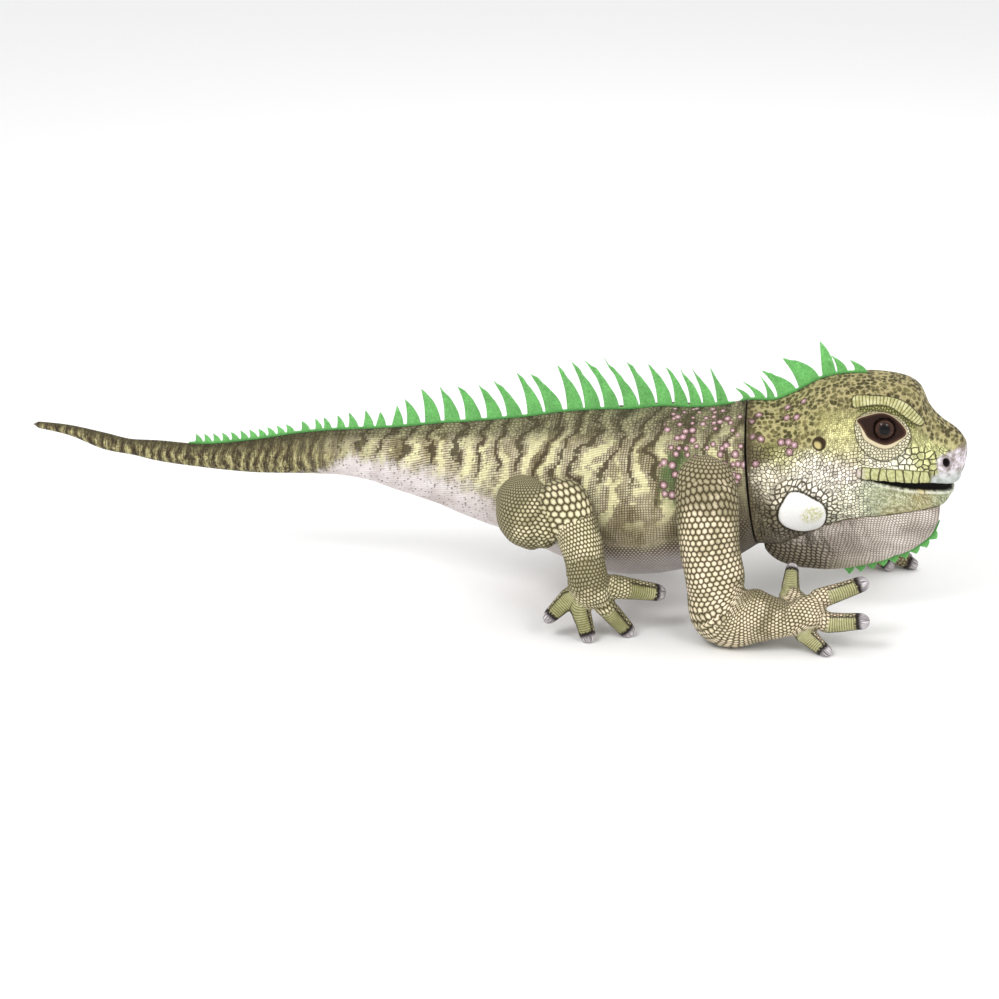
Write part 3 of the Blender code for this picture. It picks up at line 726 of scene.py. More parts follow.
# printed scales: from which share of the limb's length, width, height, how they are laid.
# Dark places: strength at the root and from where to where, middle and reach at the ankle
armLook = {
    "scales": [
        (0.0, 0.0056, 0.005, "rootPlace"), (0.14, 0.0068, 0.006, "limbPlace"),
        (0.66, 0.0042, 0.004, "limbPlace"),
    ],
    "rootShade": 0.26, "rootEnds": (0.36, 0.1), "ankle": (0.8, 0.12), "ankleShade": 0.1,
    "tints": (
        (0.32, (0.44, 0.385, 0.215)), (0.45, (0.73, 0.61, 0.39)),
        (0.56, (0.93, 0.78, 0.56)), (0.7, (0.93, 0.68, 0.5)),
    ),
}
# each limb is a chain of soft balls (X, Y, Z, radius) ending in a palm, and its toes
# (base, tip, radius at each)
nearArm = {
    "name": "rightArm", "nodes": ["right_upper_arm", "right_forearm", "right_hand"],
    "chain": mm([
        (233, -72, 162, 34), (237.5, -88, 145, 33.5), (242, -101, 108, 32), (250, -109, 70, 31.5),
        (260, -113, 37, 35), (290, -116, 35.5, 29), (318, -118, 35.5, 20.5), (329, -118, 36, 18),
    ]),
    "palm": mm((348, -114, 43, 18.5)),
    "toes": mm([
        ((328, -98, 56), (327.3, -68, 73), 11.4, 7), ((360, -104, 56), (402, -96, 72), 11.4, 8.4),
        ((370, -114, 33.5), (405, -117, 38.5), 11.2, 8.8),
        ((345.7, -121, 22), (369, -126.5, 5.8), 10.4, 7.4),
    ]),
    # folds of the cloth: middle, way across the fold, reach across, reach along, depth
    "folds": [
        ((0.278, -0.11, 0.068), (0.75, 0.0, 0.65), 0.0045, 0.026, 0.005),
        ((0.33, -0.104, 0.05), (0.7, 0.3, 0.6), 0.003, 0.016, 0.0028),
    ],
    **armLook,
}
farArm = {
    "name": "leftArm", "nodes": ["left_upper_arm", "left_forearm", "left_hand"],
    "chain": mm([
        (233, 72, 162, 34), (247, 92, 145, 33.5), (270, 112, 118, 31), (295, 128, 93, 30),
        (320, 138, 78, 29), (350, 140, 62, 24), (375, 139, 46, 19), (384, 139, 40, 17.5),
    ]),
    "palm": mm((398, 138, 31, 16.5)),
    "toes": mm([
        ((396, 148, 26), (404, 169, 6.6), 9, 6.2), ((408, 145, 26), (443, 161, 7), 9.2, 7),
        ((410, 137, 26), (450, 139, 7.4), 9.8, 7.6), ((402, 131, 25), (424, 129, 6.6), 8.8, 6.6),
    ]),
    "folds": [
        ((0.318, 0.132, 0.105), (0.8, 0.0, 0.45), 0.0045, 0.022, 0.002),
        ((0.379, 0.139, 0.059), (0.8, 0.0, 0.3), 0.003, 0.016, 0.0018),
    ],
    **armLook,
}
leftLeg = {
    "name": "leftLeg", "nodes": ["left_thigh", "left_shank", "left_foot"],
    "chain": mm([
        (42, 58, 125, 36), (48, 80, 120, 36), (66, 90, 123, 30), (86.5, 96, 143, 26),
        (98, 104, 125, 24), (108, 112, 103, 23), (113.5, 119, 82, 21.5), (116, 122, 69, 22),
    ]),
    "palm": mm((121, 124, 57, 20.5)),
    "toes": mm([
        ((97.5, 127, 48), (77, 133, 26.5), 10.8, 8), ((108.5, 130, 41), (118.5, 133, 8.5), 11, 8.8),
        ((134, 124, 41), (157.5, 112, 8.5), 11.2, 8.8), ((143, 115, 59), (187, 95, 47), 13.2, 9.6),
    ]),
    "folds": [
        ((0.059, 0.118, 0.115), (0.95, 0.1, -0.05), 0.004, 0.04, 0.003),
        ((0.074, 0.115, 0.098), (0.75, 0.15, 0.55), 0.0035, 0.016, 0.004),
        ((0.113, 0.14, 0.066), (0.1, 0.0, 1.0), 0.0028, 0.024, 0.0022),
        ((0.113, 0.14, 0.074), (-0.2, 0.0, 1.0), 0.002, 0.016, 0.0012),
    ],
    "scales": [
        (0.0, 0.0028, 0.0026, "rootPlace"), (0.45, 0.0028, 0.0035, "rootPlace"),
        (0.62, 0.004, 0.0048, "limbPlace"), (0.84, 0.0042, 0.0042, "limbPlace"),
    ],
    "rootShade": 0.4, "rootEnds": (0.46, 0.2), "ankle": (0.92, 0.15), "ankleShade": 0.36,
    "tints": (
        (0.32, (0.3, 0.285, 0.13)), (0.45, (0.56, 0.53, 0.27)),
        (0.57, (0.72, 0.65, 0.39)), (0.72, (0.76, 0.58, 0.37)),
    ),
}


def otherSide(limb, name, nodes):
    def turned(p):
        return (p[0], -p[1], *p[2:])

    made = dict(limb, name=name, nodes=nodes)
    made["chain"] = [turned(ball) for ball in limb["chain"]]
    made["palm"] = turned(limb["palm"])
    made["toes"] = [(turned(a), turned(b), ra, rb) for a, b, ra, rb in limb["toes"]]
    made["folds"] = [(turned(a), turned(b), *sizes) for a, b, *sizes in limb["folds"]]
    return made


rightLeg = otherSide(leftLeg, "rightLeg", ["right_thigh", "right_shank", "right_foot"])
limbSkin = {
    "voxel": 0.0016,
    "smooth": 8,
    # how far the limbs are pressed into the floor, and cut flat there
    "floorDip": 0.0015,
    "lumps": 0.0006,
    "lumpSize": 0.018,
    # a fold's two shoulders: share of its depth, distance in reaches
    "shoulders": (0.25, 2.2),
    # the distance to a toe's tip that places off the toes are given
    "noTip": 0.2,
    "evenRounds": 90,
}


def limbPath(limb):
    # the chain as a smooth path of place and radius, on to the palm
    count = len(limb["chain"])
    rows = [(i, *ball) for i, ball in enumerate(limb["chain"])]
    rows.append((count, *limb["palm"]))
    return curveThrough(rows, np.linspace(0, count, count * 5 + 1))


def ballsAlong(bm, path):
    for a, b in zip(path, path[1:]):
        apart = np.linalg.norm(b[:3] - a[:3])
        count = max(1, math.ceil(apart / (0.35 * min(a[3], b[3]))))
        for i in range(count + 1):
            x, y, z, r = a + (b - a) * i / count
            ball = bmesh.ops.create_icosphere(bm, subdivisions=3, radius=r)
            bmesh.ops.translate(bm, verts=ball["verts"], vec=(x, y, z))


def toePath(limb, toe):
    (base, tip, ra, rb), palm = toe, np.array(limb["palm"][:3])
    base, tip = np.array(base), np.array(tip)
    start = palm + (base - palm) * 0.3
    return np.array([(*start, ra), (*base, ra), (*tip, rb)])


def makeLimb(limb, body):
    bm = bmesh.new()
    ballsAlong(bm, limbPath(limb))
    for toe in limb["toes"]:
        ballsAlong(bm, toePath(limb, toe))
    mesh = bpy.data.meshes.new(limb["name"])
    bm.to_mesh(mesh)
    bm.free()
    obj = added(limb["name"], mesh)
    applied(obj, "REMESH", mode="VOXEL", voxel_size=limbSkin["voxel"])
    applied(obj, "SMOOTH", factor=0.5, iterations=limbSkin["smooth"])
    place = points(obj)
    amount = softLumps(place, limbSkin["lumpSize"], limbSkin["lumps"], 2.0)
    share, apart = limbSkin["shoulders"]
    for middle, across, reach, length, depth in limb["folds"]:
        away = place - np.array(middle)
        across = np.array(across) / np.linalg.norm(across)
        side = away @ across
        rest = np.linalg.norm(away - side[:, None] * across, axis=1)
        fold = hill(side, reach) - share * hill(np.abs(side) - apart * reach, reach)
        amount -= depth * fold * hill(rest, length)
    swell(obj, amount)
    # pressed flat where it rests
    place = points(obj)
    place[:, 2] = np.maximum(place[:, 2] - limbSkin["floorDip"], 0)
    movePoints(obj, place)
    applied(obj, "BOOLEAN", operation="DIFFERENCE", solver="EXACT", object=body)
    return evened(obj, outwards=False)


def paintLimb(obj, limb):
    place = points(obj) + (0, 0, limbSkin["floorDip"])
    paths = [limbPath(limb)] + [toePath(limb, toe) for toe in limb["toes"]]
    # the path begins inside the body, before the first ball
    root = 2 * paths[0][0] - paths[0][5]
    root[3] = paths[0][0][3]
    paths[0] = np.concatenate([root[None], paths[0]])
    lengths = [np.linalg.norm(np.diff(path[:, :3], axis=0), axis=1).sum() for path in paths]
    outward = np.array([0.0, math.copysign(1.0, limb["palm"][1]), 0.0])
    # at each point, from the piece of path nearest to it: how near, place on the cloth round
    # and along, turn from the outer side, whether on a toe, distance to the toe's tip
    best = np.full((len(place), 6), np.inf)
    for number, path in enumerate(paths):
        passed = 0.0
        for a, b in zip(path, path[1:]):
            size = np.linalg.norm(b[:3] - a[:3])
            d = (b[:3] - a[:3]) / size
            run = (place - a[:3]) @ d
            low = -size if number == 0 and passed == 0 else 0
            t = np.clip(run, low, size)
            away = place - a[:3] - t[:, None] * d
            radius = a[3] + (b[3] - a[3]) * t / size
            side = outward - (outward @ d) * d
            side /= np.linalg.norm(side)
            turn = np.arctan2(away @ np.cross(d, side), away @ side)
            along = passed + np.where(t >= size, run, t)
            found = np.stack([
                np.linalg.norm(away, axis=1) / radius, turn * radius,
                along + (lengths[0] if number else 0), np.abs(turn), 0 * t + (number > 0),
                lengths[number] + radius - along if number else 0 * t + limbSkin["noTip"],
            ], -1)
            best = np.where(found[:, :1] < best[:, :1], found, best)
            passed += size
    best[:, 2] = smoothedOver(obj, best[:, 2], limbSkin["evenRounds"])
    rootX, rootY, rootZ, size = limb["chain"][0]
    dx, dy, dz = (place - (rootX, 0, rootZ)).T
    dy = np.abs(dy) - abs(rootY) + 0.01
    rootPlace = [np.arctan2(dx, dy), np.arctan2(dz, np.hypot(dx, dy)), 0 * dx]
    paint(obj, "rootPlace", np.stack(rootPlace, -1) * size)
    paint(obj, "limbPlace", best[:, 1:4])
    paint(obj, "toe", best[:, 4])
    paint(obj, "toTip", best[:, 5])
    paint(obj, "reach", best[:, 2] / lengths[0])


def limbPrint(name, limb):
    made, shader = newMaterial(name)
    around, along, turn = parts(painted("limbPlace", "Vector"))
    toe = painted("toe")
    toTip = painted("toTip")
    flat = joined(around, along)
    loose = warped(flat, 45, 0.0036, 1.0)
    wander = cloudy(flat, 90, 3.0)
    reach = wander * 0.1 + (painted("reach") - 0.05)
    # printed scales, of another size on each length of the limb
    laidOut = {
        "limbPlace": loose, "rootPlace": warped(painted("rootPlace", "Vector"), 45, 0.0036, 1.0)
    }
    (_, *size, laid), *others = limb["scales"]
    kept = cells(laidOut[laid], *size)
    for start, *size, laid in others:
        here = steps(reach, start - 0.006, start + 0.006)
        kept = [mixed(here, a, b) for a, b in zip(kept, cells(laidOut[laid], *size))]
    edge, middle, chance = kept
    clouds = streaked(loose, (38, 24), 4.0, 0.65)
    light = shades(clouds, *limb["tints"])
    # dark towards the hidden side, at the roots and in places on the way down
    shade = steps(turn, 0.7, 2.1) * 0.4 + streaked(loose, (26, 40), 4.0, 0.6, (4, 4))
    shade += steps(reach, *limb["rootEnds"]) * limb["rootShade"]
    shade += hillNode(reach, *limb["ankle"]) * limb["ankleShade"]
    dark = steps(shade, 0.47, 0.72)
    light = blend(dark * 0.8, light, (0.15, 0.135, 0.062))
    scale = blend(steps(chance, 0.0, 1.0) * 0.46, light, (0.22, 0.195, 0.095))
    glow = steps(middle, 0.44, 0.06) * steps(dark, 0.0, 1.0, 0.78, 0.22)
    scale = blend(glow, scale, (0.9, 0.8, 0.59))
    colour = blend(steps(edge, 0.26, 0.08) * 0.82, scale, (0.13, 0.104, 0.056))
    colour = blend(steps(edge, 0.12, 0.03) * 0.8, colour, (0.028, 0.021, 0.011))
    # bars across the top of each toe, small scales down its sides
    toeTint = shades(
        clouds, (0.35, (0.27, 0.26, 0.115)), (0.55, (0.48, 0.465, 0.245)), (0.7, (0.7, 0.67, 0.44))
    )
    barColour = blend(ruled(along, 0.0025, 0.3) * 0.72, toeTint, (0.08, 0.072, 0.026))
    onToe = toe * steps(toTip, 0.05, 0.043)
    colour = blend(onToe * steps(turn, 0.98, 0.84), colour, barColour)
    edgeLine = hillNode(turn, 0.96, 0.26) * onToe
    colour = blend(edgeLine * 0.9, colour, (0.02, 0.016, 0.009))
    # claw: a dark band, then grey white with streaks
    streaks = streaked(flat, (520, 60), 2.0)
    claw = shades(
        streaks, (0.38, (0.17, 0.15, 0.155)), (0.52, (0.5, 0.46, 0.47)), (0.66, (0.76, 0.72, 0.74))
    )
    clawEdge = streaks * 0.009 + toTip
    claw = blend(steps(clawEdge, 0.0115, 0.0165), claw, (0.022, 0.017, 0.015))
    colour = blend(steps(clawEdge, 0.0205, 0.018) * toe, colour, claw)
    plushFinish(shader, colour, steps(edge, 0.02, 0.26) * 1.4, 0.45)
    return made


head = {
    "lengthways": 200,
    "around": 208,
    "lumps": 0.0005,
    "lumpSize": 0.03,
    # soft forms: X, distance from the middle, Z, reach, height
    "forms": mm([
        (405, 42, 262, 20, 4), (440, 36, 252, 16, 4.5), (416, 48, 225, 17, -4),
        (345, 58, 140, 26, 5), (480, 22, 190, 10, 2.5),
    ]),
    # outlines of the face as seen from the side: X and Z
    "almond": mm([
        (387.7, 235.4), (396.6, 239.4), (413.8, 242.5), (428.8, 235.3), (439.1, 221.8),
        (429.9, 213.5), (417.1, 209.3), (401.3, 216.4), (395.7, 223.9), (391.7, 229.8),
    ]),
    "eyeRing": mm([
        (387, 235.4), (386.2, 223.9), (392.1, 209.1), (404.5, 196.6), (419.4, 192.6),
        (435.1, 200.5), (443.2, 214.2), (441.1, 226.3), (431.6, 238.4), (416.6, 243.5),
        (399, 244.2),
    ]),
    "brow": mm([
        (381.8, 256.5), (390.4, 259), (409.7, 259), (424.6, 257.2), (438, 252.3), (448.9, 241.4),
        (456, 231.6), (453.3, 228.1), (445.2, 232), (432.9, 241.3), (420.7, 248.5), (405.9, 250.5),
        (392.8, 248.4), (382.5, 247.6),
    ]),
    "browLine": mm([
        (382, 252), (399, 254.5), (413.5, 254.5), (422.5, 252.8), (435.5, 246.8), (447, 236.7),
        (454.7, 229.8),
    ]),
    "ear": mm((349.9, 209.9)),
    "earSpot": mm((346.6, 207.2, 60)),
    "shield": mm([
        (311.3, 136.3), (314.9, 144.7), (321.2, 155.4), (332.3, 156.5), (346, 149.6),
        (356.5, 141.7), (359.6, 125.9), (353.4, 109.6), (337.2, 105.9), (319.6, 113.7),
        (311.5, 123.8),
    ]),
    "shieldSpot": mm((347, 128.5, 64)),
    "mouth": mm([
        (386.4, 173), (402, 171), (417.4, 169.1), (447, 165.6), (471.5, 164.1), (487.1, 161.6),
        (520, 161), (520, 151.5), (485.4, 153.4), (466.7, 155.3), (447.5, 157.5), (429.6, 162.1),
        (402.8, 169.4),
    ]),
    "lips": mm([
        (390, 185), (396, 186.2), (413.9, 184.5), (439.7, 182), (466.4, 178.1), (468, 166),
        (447, 165), (417.4, 168.9), (394, 171.8), (388.5, 176),
    ]),
    "nose": mm([
        (499, 203.5), (488, 198.5), (476.5, 195), (472.4, 187.2), (474.6, 175.9), (467.5, 170),
        (469.3, 163.9), (487, 161), (530, 160), (530, 209),
    ]),
    "nostril": mm((481.3, 187.5)),
    "jaw": mm([
        (405, 169), (429.6, 162.5), (466.7, 156), (520, 154), (520, 120), (432.8, 118), (412, 118),
        (406, 130), (402, 150),
    ]),
    # ground colours: X, Z, reach, colour
    "zones": [
        (0.3, 0.238, 0.02, (0.17, 0.15, 0.062)), (0.36, 0.262, 0.022, (0.2, 0.168, 0.075)),
        (0.43, 0.264, 0.024, (0.205, 0.168, 0.08)), (0.465, 0.232, 0.014, (0.215, 0.175, 0.092)),
        (0.302, 0.215, 0.018, (0.25, 0.24, 0.085)), (0.325, 0.225, 0.018, (0.29, 0.28, 0.095)),
        (0.345, 0.24, 0.016, (0.36, 0.34, 0.13)), (0.368, 0.228, 0.014, (0.74, 0.7, 0.33)),
        (0.366, 0.205, 0.013, (0.74, 0.69, 0.37)), (0.385, 0.197, 0.012, (0.72, 0.66, 0.39)),
        (0.322, 0.196, 0.013, (0.66, 0.62, 0.33)), (0.335, 0.183, 0.013, (0.92, 0.86, 0.72)),
        (0.36, 0.18, 0.014, (0.9, 0.82, 0.7)), (0.378, 0.18, 0.012, (0.9, 0.8, 0.72)),
        (0.41, 0.192, 0.012, (0.9, 0.85, 0.66)), (0.432, 0.192, 0.012, (0.92, 0.9, 0.68)),
        (0.458, 0.2, 0.012, (0.68, 0.69, 0.32)), (0.45, 0.215, 0.01, (0.56, 0.55, 0.26)),
        (0.35, 0.16, 0.016, (0.92, 0.87, 0.74)), (0.38, 0.15, 0.016, (0.88, 0.85, 0.66)),
        (0.41, 0.152, 0.014, (0.54, 0.59, 0.41)), (0.43, 0.146, 0.012, (0.56, 0.58, 0.34)),
        (0.462, 0.147, 0.01, (0.5, 0.4, 0.17)), (0.433, 0.13, 0.01, (0.54, 0.44, 0.22)),
        (0.48, 0.148, 0.01, (0.36, 0.42, 0.27)), (0.3, 0.165, 0.014, (0.8, 0.73, 0.56)),
        (0.284, 0.2, 0.01, (0.19, 0.165, 0.09)), (0.284, 0.15, 0.012, (0.17, 0.145, 0.09)),
        (0.292, 0.11, 0.016, (0.23, 0.2, 0.13)), (0.32, 0.095, 0.018, (0.27, 0.235, 0.18)),
    ],
    "dots": mm([
        (283.3, 227.5), (276.7, 224.1), (288.4, 208.9), (309.7, 206.8), (317, 208.4),
        (324.6, 206.4), (312.4, 235.8), (324.5, 231.5), (330.2, 244.7), (285.1, 187.2), (319, 200),
        (279, 212), (314, 229),
    ]),
    # these outlines are drawn without kinks
    "rounded": ("brow", "almond", "eyeRing", "shield", "nose"),
    # how far from the middle the sides begin, for the relief and for the folds
    "sides": (0.01, 0.022),
    "foldSides": (0.01, 0.03),
    # relief by the outlines: all inside one or a line round it, at what distance, reach, height
    "relief": [
        ("brow", "inside", 0, 0.0024, 0.0024, "sides"),
        ("brow", "line", 0.0016, 0.0014, -0.001, "sides"),
        ("eyeRing", "line", 0.0004, 0.0016, 0.001, "sides"),
        ("almond", "line", 0.0012, 0.0014, 0.0012, "sides"),
        ("almond", "inside", 0, 0.002, -0.0016, "sides"),
        ("nostril", "inside", 0.0035, 0.0013, -0.0042, "sides"),
        ("nostril", "line", 0.0062, 0.0022, 0.0016, "sides"),
        ("shield", "inside", 0, 0.003, 0.0016, "all"),
        ("shield", "line", 0.0012, 0.0018, -0.0012, "all"),
        ("ear", "inside", 0.0042, 0.0014, -0.0026, "all"),
        ("ear", "line", 0.007, 0.0018, 0.001, "all"),
        ("nose", "inside", 0, 0.003, 0.0008, "all"),
        ("lips", "inside", 0, 0.0016, 0.0012, "all"),
        ("mouth", "inside", 0, 0.0013, -0.0058, "all"),
        ("mouth", "line", 0.003, 0.0024, 0.0012, "all"),
    ],
    # folds of the neck behind the cheek: line of X and Z, reach, depth
    "folds": [
        ([(0.276, 0.23), (0.28, 0.195), (0.288, 0.145), (0.292, 0.1)], 0.0032, 0.0045),
        ([(0.285, 0.19), (0.296, 0.145), (0.304, 0.105)], 0.003, 0.003),
    ],
}


def headStations(count):
    # places along X spaced evenly over the skin, so that the blunt nose is well covered
    seam, nose = toy["neckSeam"] + toy["seamGap"], headRows[-1][0]
    fine = np.linspace(seam, nose, 4000)
    top, bottom, half, _ = np.moveaxis(curveThrough(bodyRows, fine), -1, 0)
    profile = np.stack([fine, top, bottom, half], -1)
    size = np.abs(np.diff(profile, axis=0))
    run = np.cumsum(np.pad(np.hypot(size[:, 0], size[:, 1:].max(axis=1)), (1, 0)))
    return np.interp(np.linspace(0, run[-1], count + 1), run, fine)


def headShape(u, v):
    x = np.interp(u, np.linspace(0, 1, head["lengthways"] + 1), headStations(head["lengthways"]))
    turn = turnAt(v)
    place = section(x, turn)
    out = np.stack([np.zeros(len(turn)), np.cos(turn), np.sin(turn)], -1)
    for formX, formY, formZ, reach, height in head["forms"]:
        away = place - (formX, 0, formZ)
        away[:, 1] = np.abs(place[:, 1]) - formY
        place = place + out * (height * hill(np.linalg.norm(away, axis=1), reach))[:, None]
    return place


def makeHead():
    obj = rolledGrid("headSkin", head["lengthways"], head["around"], headShape)
    fillNeck(obj)
    evened(obj)
    place = points(obj)
    x, z = place[:, 0], place[:, 2]
    across = np.abs(place[:, 1])
    nostrilX, nostrilZ = head["nostril"]
    away = {name: toPolygon(x, z, roundedOutline(head[name])) for name in head["rounded"]}
    away |= {name: toPolygon(x, z, head[name]) for name in ("mouth", "lips", "jaw")}
    away["ear"] = np.hypot(x - head["ear"][0], z - head["ear"][1])
    fromNostril = x - nostrilX
    away["nostril"] = np.hypot(fromNostril / 0.75, z - nostrilZ + 0.3 * fromNostril)
    for name, values in away.items():
        paint(obj, name, values)
    amount = softLumps(place, head["lumpSize"], head["lumps"], 5.0) * awayFromCrest(place)
    amount -= drawnIn(place)
    for name, kind, middle, reach, height, spread in head["relief"]:
        distance = away[name] - middle
        here = hill(distance, reach) if kind == "line" else 1 - ease(-reach, reach, distance)
        amount += height * here * (ease(*head["sides"], across) if spread == "sides" else 1)
    for line, reach, depth in head["folds"]:
        amount -= depth * hill(alongLine(x, z, line)[0], reach) * ease(*head["foldSides"], across)
    paint(obj, "fromSeam", fromSeam(place))
    paint(obj, "facePlace", np.stack([x, z, across], -1))
    paint(obj, "browRun", alongLine(x, z, head["browLine"])[1])
    # pink dots: the distance to the nearest, on either side
    centres = [
        place[np.argmin(np.hypot(x - dotX, z - dotZ) + (place[:, 1] * side < 0))]
        for dotX, dotZ in head["dots"] for side in (-1, 1)
    ]
    paint(obj, "dots", np.min([np.linalg.norm(place - c, axis=1) for c in centres], axis=0))
    # each place takes the colours of the zones near it; far from all, those of the nearest
    weights = np.full((len(head["zones"]), len(x)), 1e-12)
    for weight, (zoneX, zoneZ, reach, _) in zip(weights, head["zones"]):
        distance = np.hypot(x - zoneX, z - zoneZ)
        weight += hill(distance, reach) + 1e-7 * hill(distance, 4 * reach)
    colours = np.array([zone[3] for zone in head["zones"]])
    paint(obj, "ground", (weights.T @ colours) / weights.sum(axis=0)[:, None])
    swell(obj, amount)
    return obj


def headPrint():
    made, shader = newMaterial("headPrint")
    cloth = painted("printPlace", "Vector")
    face = painted("facePlace", "Vector")
    faceX, faceZ, _ = parts(face)
    shield, mouth, ring, almond, brow, lips, nostril, ear = map(painted, (
        "shield", "mouth", "eyeRing", "almond", "brow", "lips", "nostril", "ear"
    ))
    clouds = cloudy(cloth, 130, 4.0, 0.65)
    ground = toned(painted("ground", "Vector"), steps(clouds, 0.34, 0.66, 0.6, 1.3))
    # crown and nape: light rims round dark pits
    rimLine, _, pitPlace = netOf(face, 190, 0.0034, 0.03, 0.26, "3D")
    pitSpot = steps(cloudy(face, 240, 2.0) * 0.6 + (pitPlace - 0.3), 0.72, 0.34)
    rimmed = blend(rimLine * 0.75, ground, (0.49, 0.43, 0.22))
    crownColour = blend(pitSpot * 0.88, rimmed, (0.04, 0.034, 0.014))
    golden = steps(cloudy(cloth, 60, 4.0, 0.7), 0.44, 0.64, 0.0, 0.3)
    crownColour = blend(golden, crownColour, (0.48, 0.42, 0.18))
    # temple: fine yellow green beads
    fineLine, chance, _ = netOf(cloth, 430, 0.0016, 0.06, 0.24)
    beadColour = toned(ground, steps(chance, 0.0, 1.0, 0.7, 1.3))
    templeColour = blend(fineLine * 0.72, beadColour, (0.13, 0.125, 0.04))
    # cheek: pale cells with black lines, larger by the shield
    middleNet = netOf(cloth, 250, 0.002, 0.04, 0.17)
    largeNet = netOf(cloth, 168, 0.003, 0.07, 0.25)
    snoutTop = (faceX - 0.43) * 0.48 + faceZ
    snout = steps(faceX, 0.418, 0.434) * steps(snoutTop, 0.224, 0.214)
    snoutNet = netOf(face, 150, 0.0022, 0.05, 0.17)
    byShield = steps(shield, 0.022, 0.012)
    cheekNet = [mixed(byShield, a, b) for a, b in zip(middleNet[:2], largeNet)]
    line, chance = (mixed(snout, a, b) for a, b in zip(cheekNet, snoutNet))
    cheekColour = toned(ground, steps(chance, 0.0, 1.0, 0.8, 1.25))
    cheekColour = blend(line * 0.93, cheekColour, (0.036, 0.026, 0.015))
    # where each is
    level = faceZ + (cloudy(cloth, 70, 3.0) - 0.5) * 0.03
    crown = steps(level - steps(faceX, 0.35, 0.38) * 0.006, 0.232, 0.244)
    crown = calc("MAXIMUM", crown, steps(level + faceX, 0.672, 0.684))
    nape = steps(faceX, 0.362, 0.338) * steps(level, 0.203, 0.212)
    pits = calc("MAXIMUM", crown, nape)
    low = steps(level, 0.208, 0.2)
    colour = layered(templeColour, (low, cheekColour), (pits, crownColour))
    underEye = steps(ring, 0.012, 0.004) * steps(faceZ, 0.215, 0.205)
    colour = blend(calc("MAXIMUM", underEye, snout), colour, cheekColour)
    colour = toned(colour, steps(cloudy(cloth, 900, 3.0, 0.7), 0.32, 0.68, 0.7, 1.25))
    # lower jaw: soft mottling, a pale line under the mouth
    jaw = steps(cloudy(cloth, 120, 5.0, 0.75) * 0.05 + painted("jaw"), 0.032, 0.014)
    mottle = shades(
        cloudy(cloth, 210, 5.0, 0.75), (0.42, (0.11, 0.12, 0.055)), (0.5, (0.4, 0.41, 0.22)),
        (0.58, (0.82, 0.81, 0.64)),
    )
    mottled = blend(0.58, painted("ground", "Vector"), mottle)
    jawLines = netOf(cloth, 330, 0.002, 0.04, 0.2)[0] * steps(cloudy(cloth, 60, 2.0), 0.4, 0.62)
    mottled = blend(jawLines * 0.72, mottled, (0.1, 0.088, 0.042))
    freckles = steps(cloudy(cloth, 480, 2.0), 0.62, 0.68)
    mottled = blend(freckles * 0.75, mottled, (0.075, 0.08, 0.035))
    colour = layered(
        colour, (jaw, mottled), (hillNode(mouth, 0.0016, 0.002) * jaw, (0.76, 0.75, 0.66))
    )
    # upper lip: a row of squarish cells
    lipColour = shades(
        steps(faceX, 0.385, 0.408), (0.2, (0.64, 0.53, 0.52)), (0.8, (0.56, 0.56, 0.29))
    )
    lipCloud = steps(cloudy(cloth, 300, 3.0), 0.46, 0.6)
    lipColour = blend(lipCloud * 0.7, lipColour, (0.33, 0.34, 0.12))
    lipLine = ruled(parts(warped(face, 80, 0.0064, 1.0))[0], 0.0086, 0.14)
    lipLine = calc("MAXIMUM", lipLine, hillNode(lips, -0.0002, 0.0013))
    lipColour = blend(lipLine * 0.9, lipColour, (0.05, 0.042, 0.018))
    colour = blend(steps(lips, 0.0008, -0.0004), colour, lipColour)
    # nose patch and nostril
    noseColour = shades(
        cloudy(face, 150, 4.0, 0.65), (0.36, (0.26, 0.215, 0.19)), (0.48, (0.56, 0.5, 0.52)),
        (0.62, (0.8, 0.75, 0.8)),
    )
    noseColour = blend(steps(faceZ, 0.18, 0.168) * 0.6, noseColour, (0.4, 0.48, 0.42))
    topOfNose = steps(cloudy(face, 200, 3.0) * 0.02 + faceZ, 0.203, 0.213)
    noseColour = blend(topOfNose * 0.9, noseColour, (0.2, 0.16, 0.085))
    colour = layered(
        colour, (steps(painted("nose"), 0.003, -0.0022), noseColour),
        (steps(nostril, 0.01, 0.0056) * 0.55, (0.17, 0.12, 0.11)),
        (steps(nostril, 0.0058, 0.004), (0.012, 0.008, 0.008)),
    )
    # eye: netted ring, plain lid, dark almond
    ringLine = netOf(face, 310, 0.0012, 0.05, 0.24)[0]
    ringColour = blend(ringLine * 0.92, (0.72, 0.68, 0.48), (0.06, 0.046, 0.024))
    ringColour = blend(steps(faceZ, 0.222, 0.24, 0.0, 0.55), ringColour, (0.2, 0.18, 0.07))
    colour = blend(steps(ring, 0.0006, -0.0006), colour, ringColour)
    colour = blend(hillNode(ring, 0.0004, 0.0013) * 0.85, colour, (0.045, 0.036, 0.018))
    # the lid is wide below and behind the eye, thin above
    lidWide = steps(faceZ, 0.232, 0.216) * steps(faceX, 0.44, 0.424) * 0.003 + 0.001
    lidPlace = almond / lidWide
    colour = blend(steps(lidPlace, 1.15, 0.9), colour, (0.64, 0.56, 0.37))
    colour = blend(hillNode(lidPlace, 1.1, 0.35) * 0.7, colour, (0.11, 0.08, 0.045))
    browny = blend(steps(almond, -0.0006, -0.003), (0.075, 0.036, 0.024), (0.026, 0.013, 0.01))
    colour = blend(steps(almond, 0.0008, -0.0003), colour, browny)
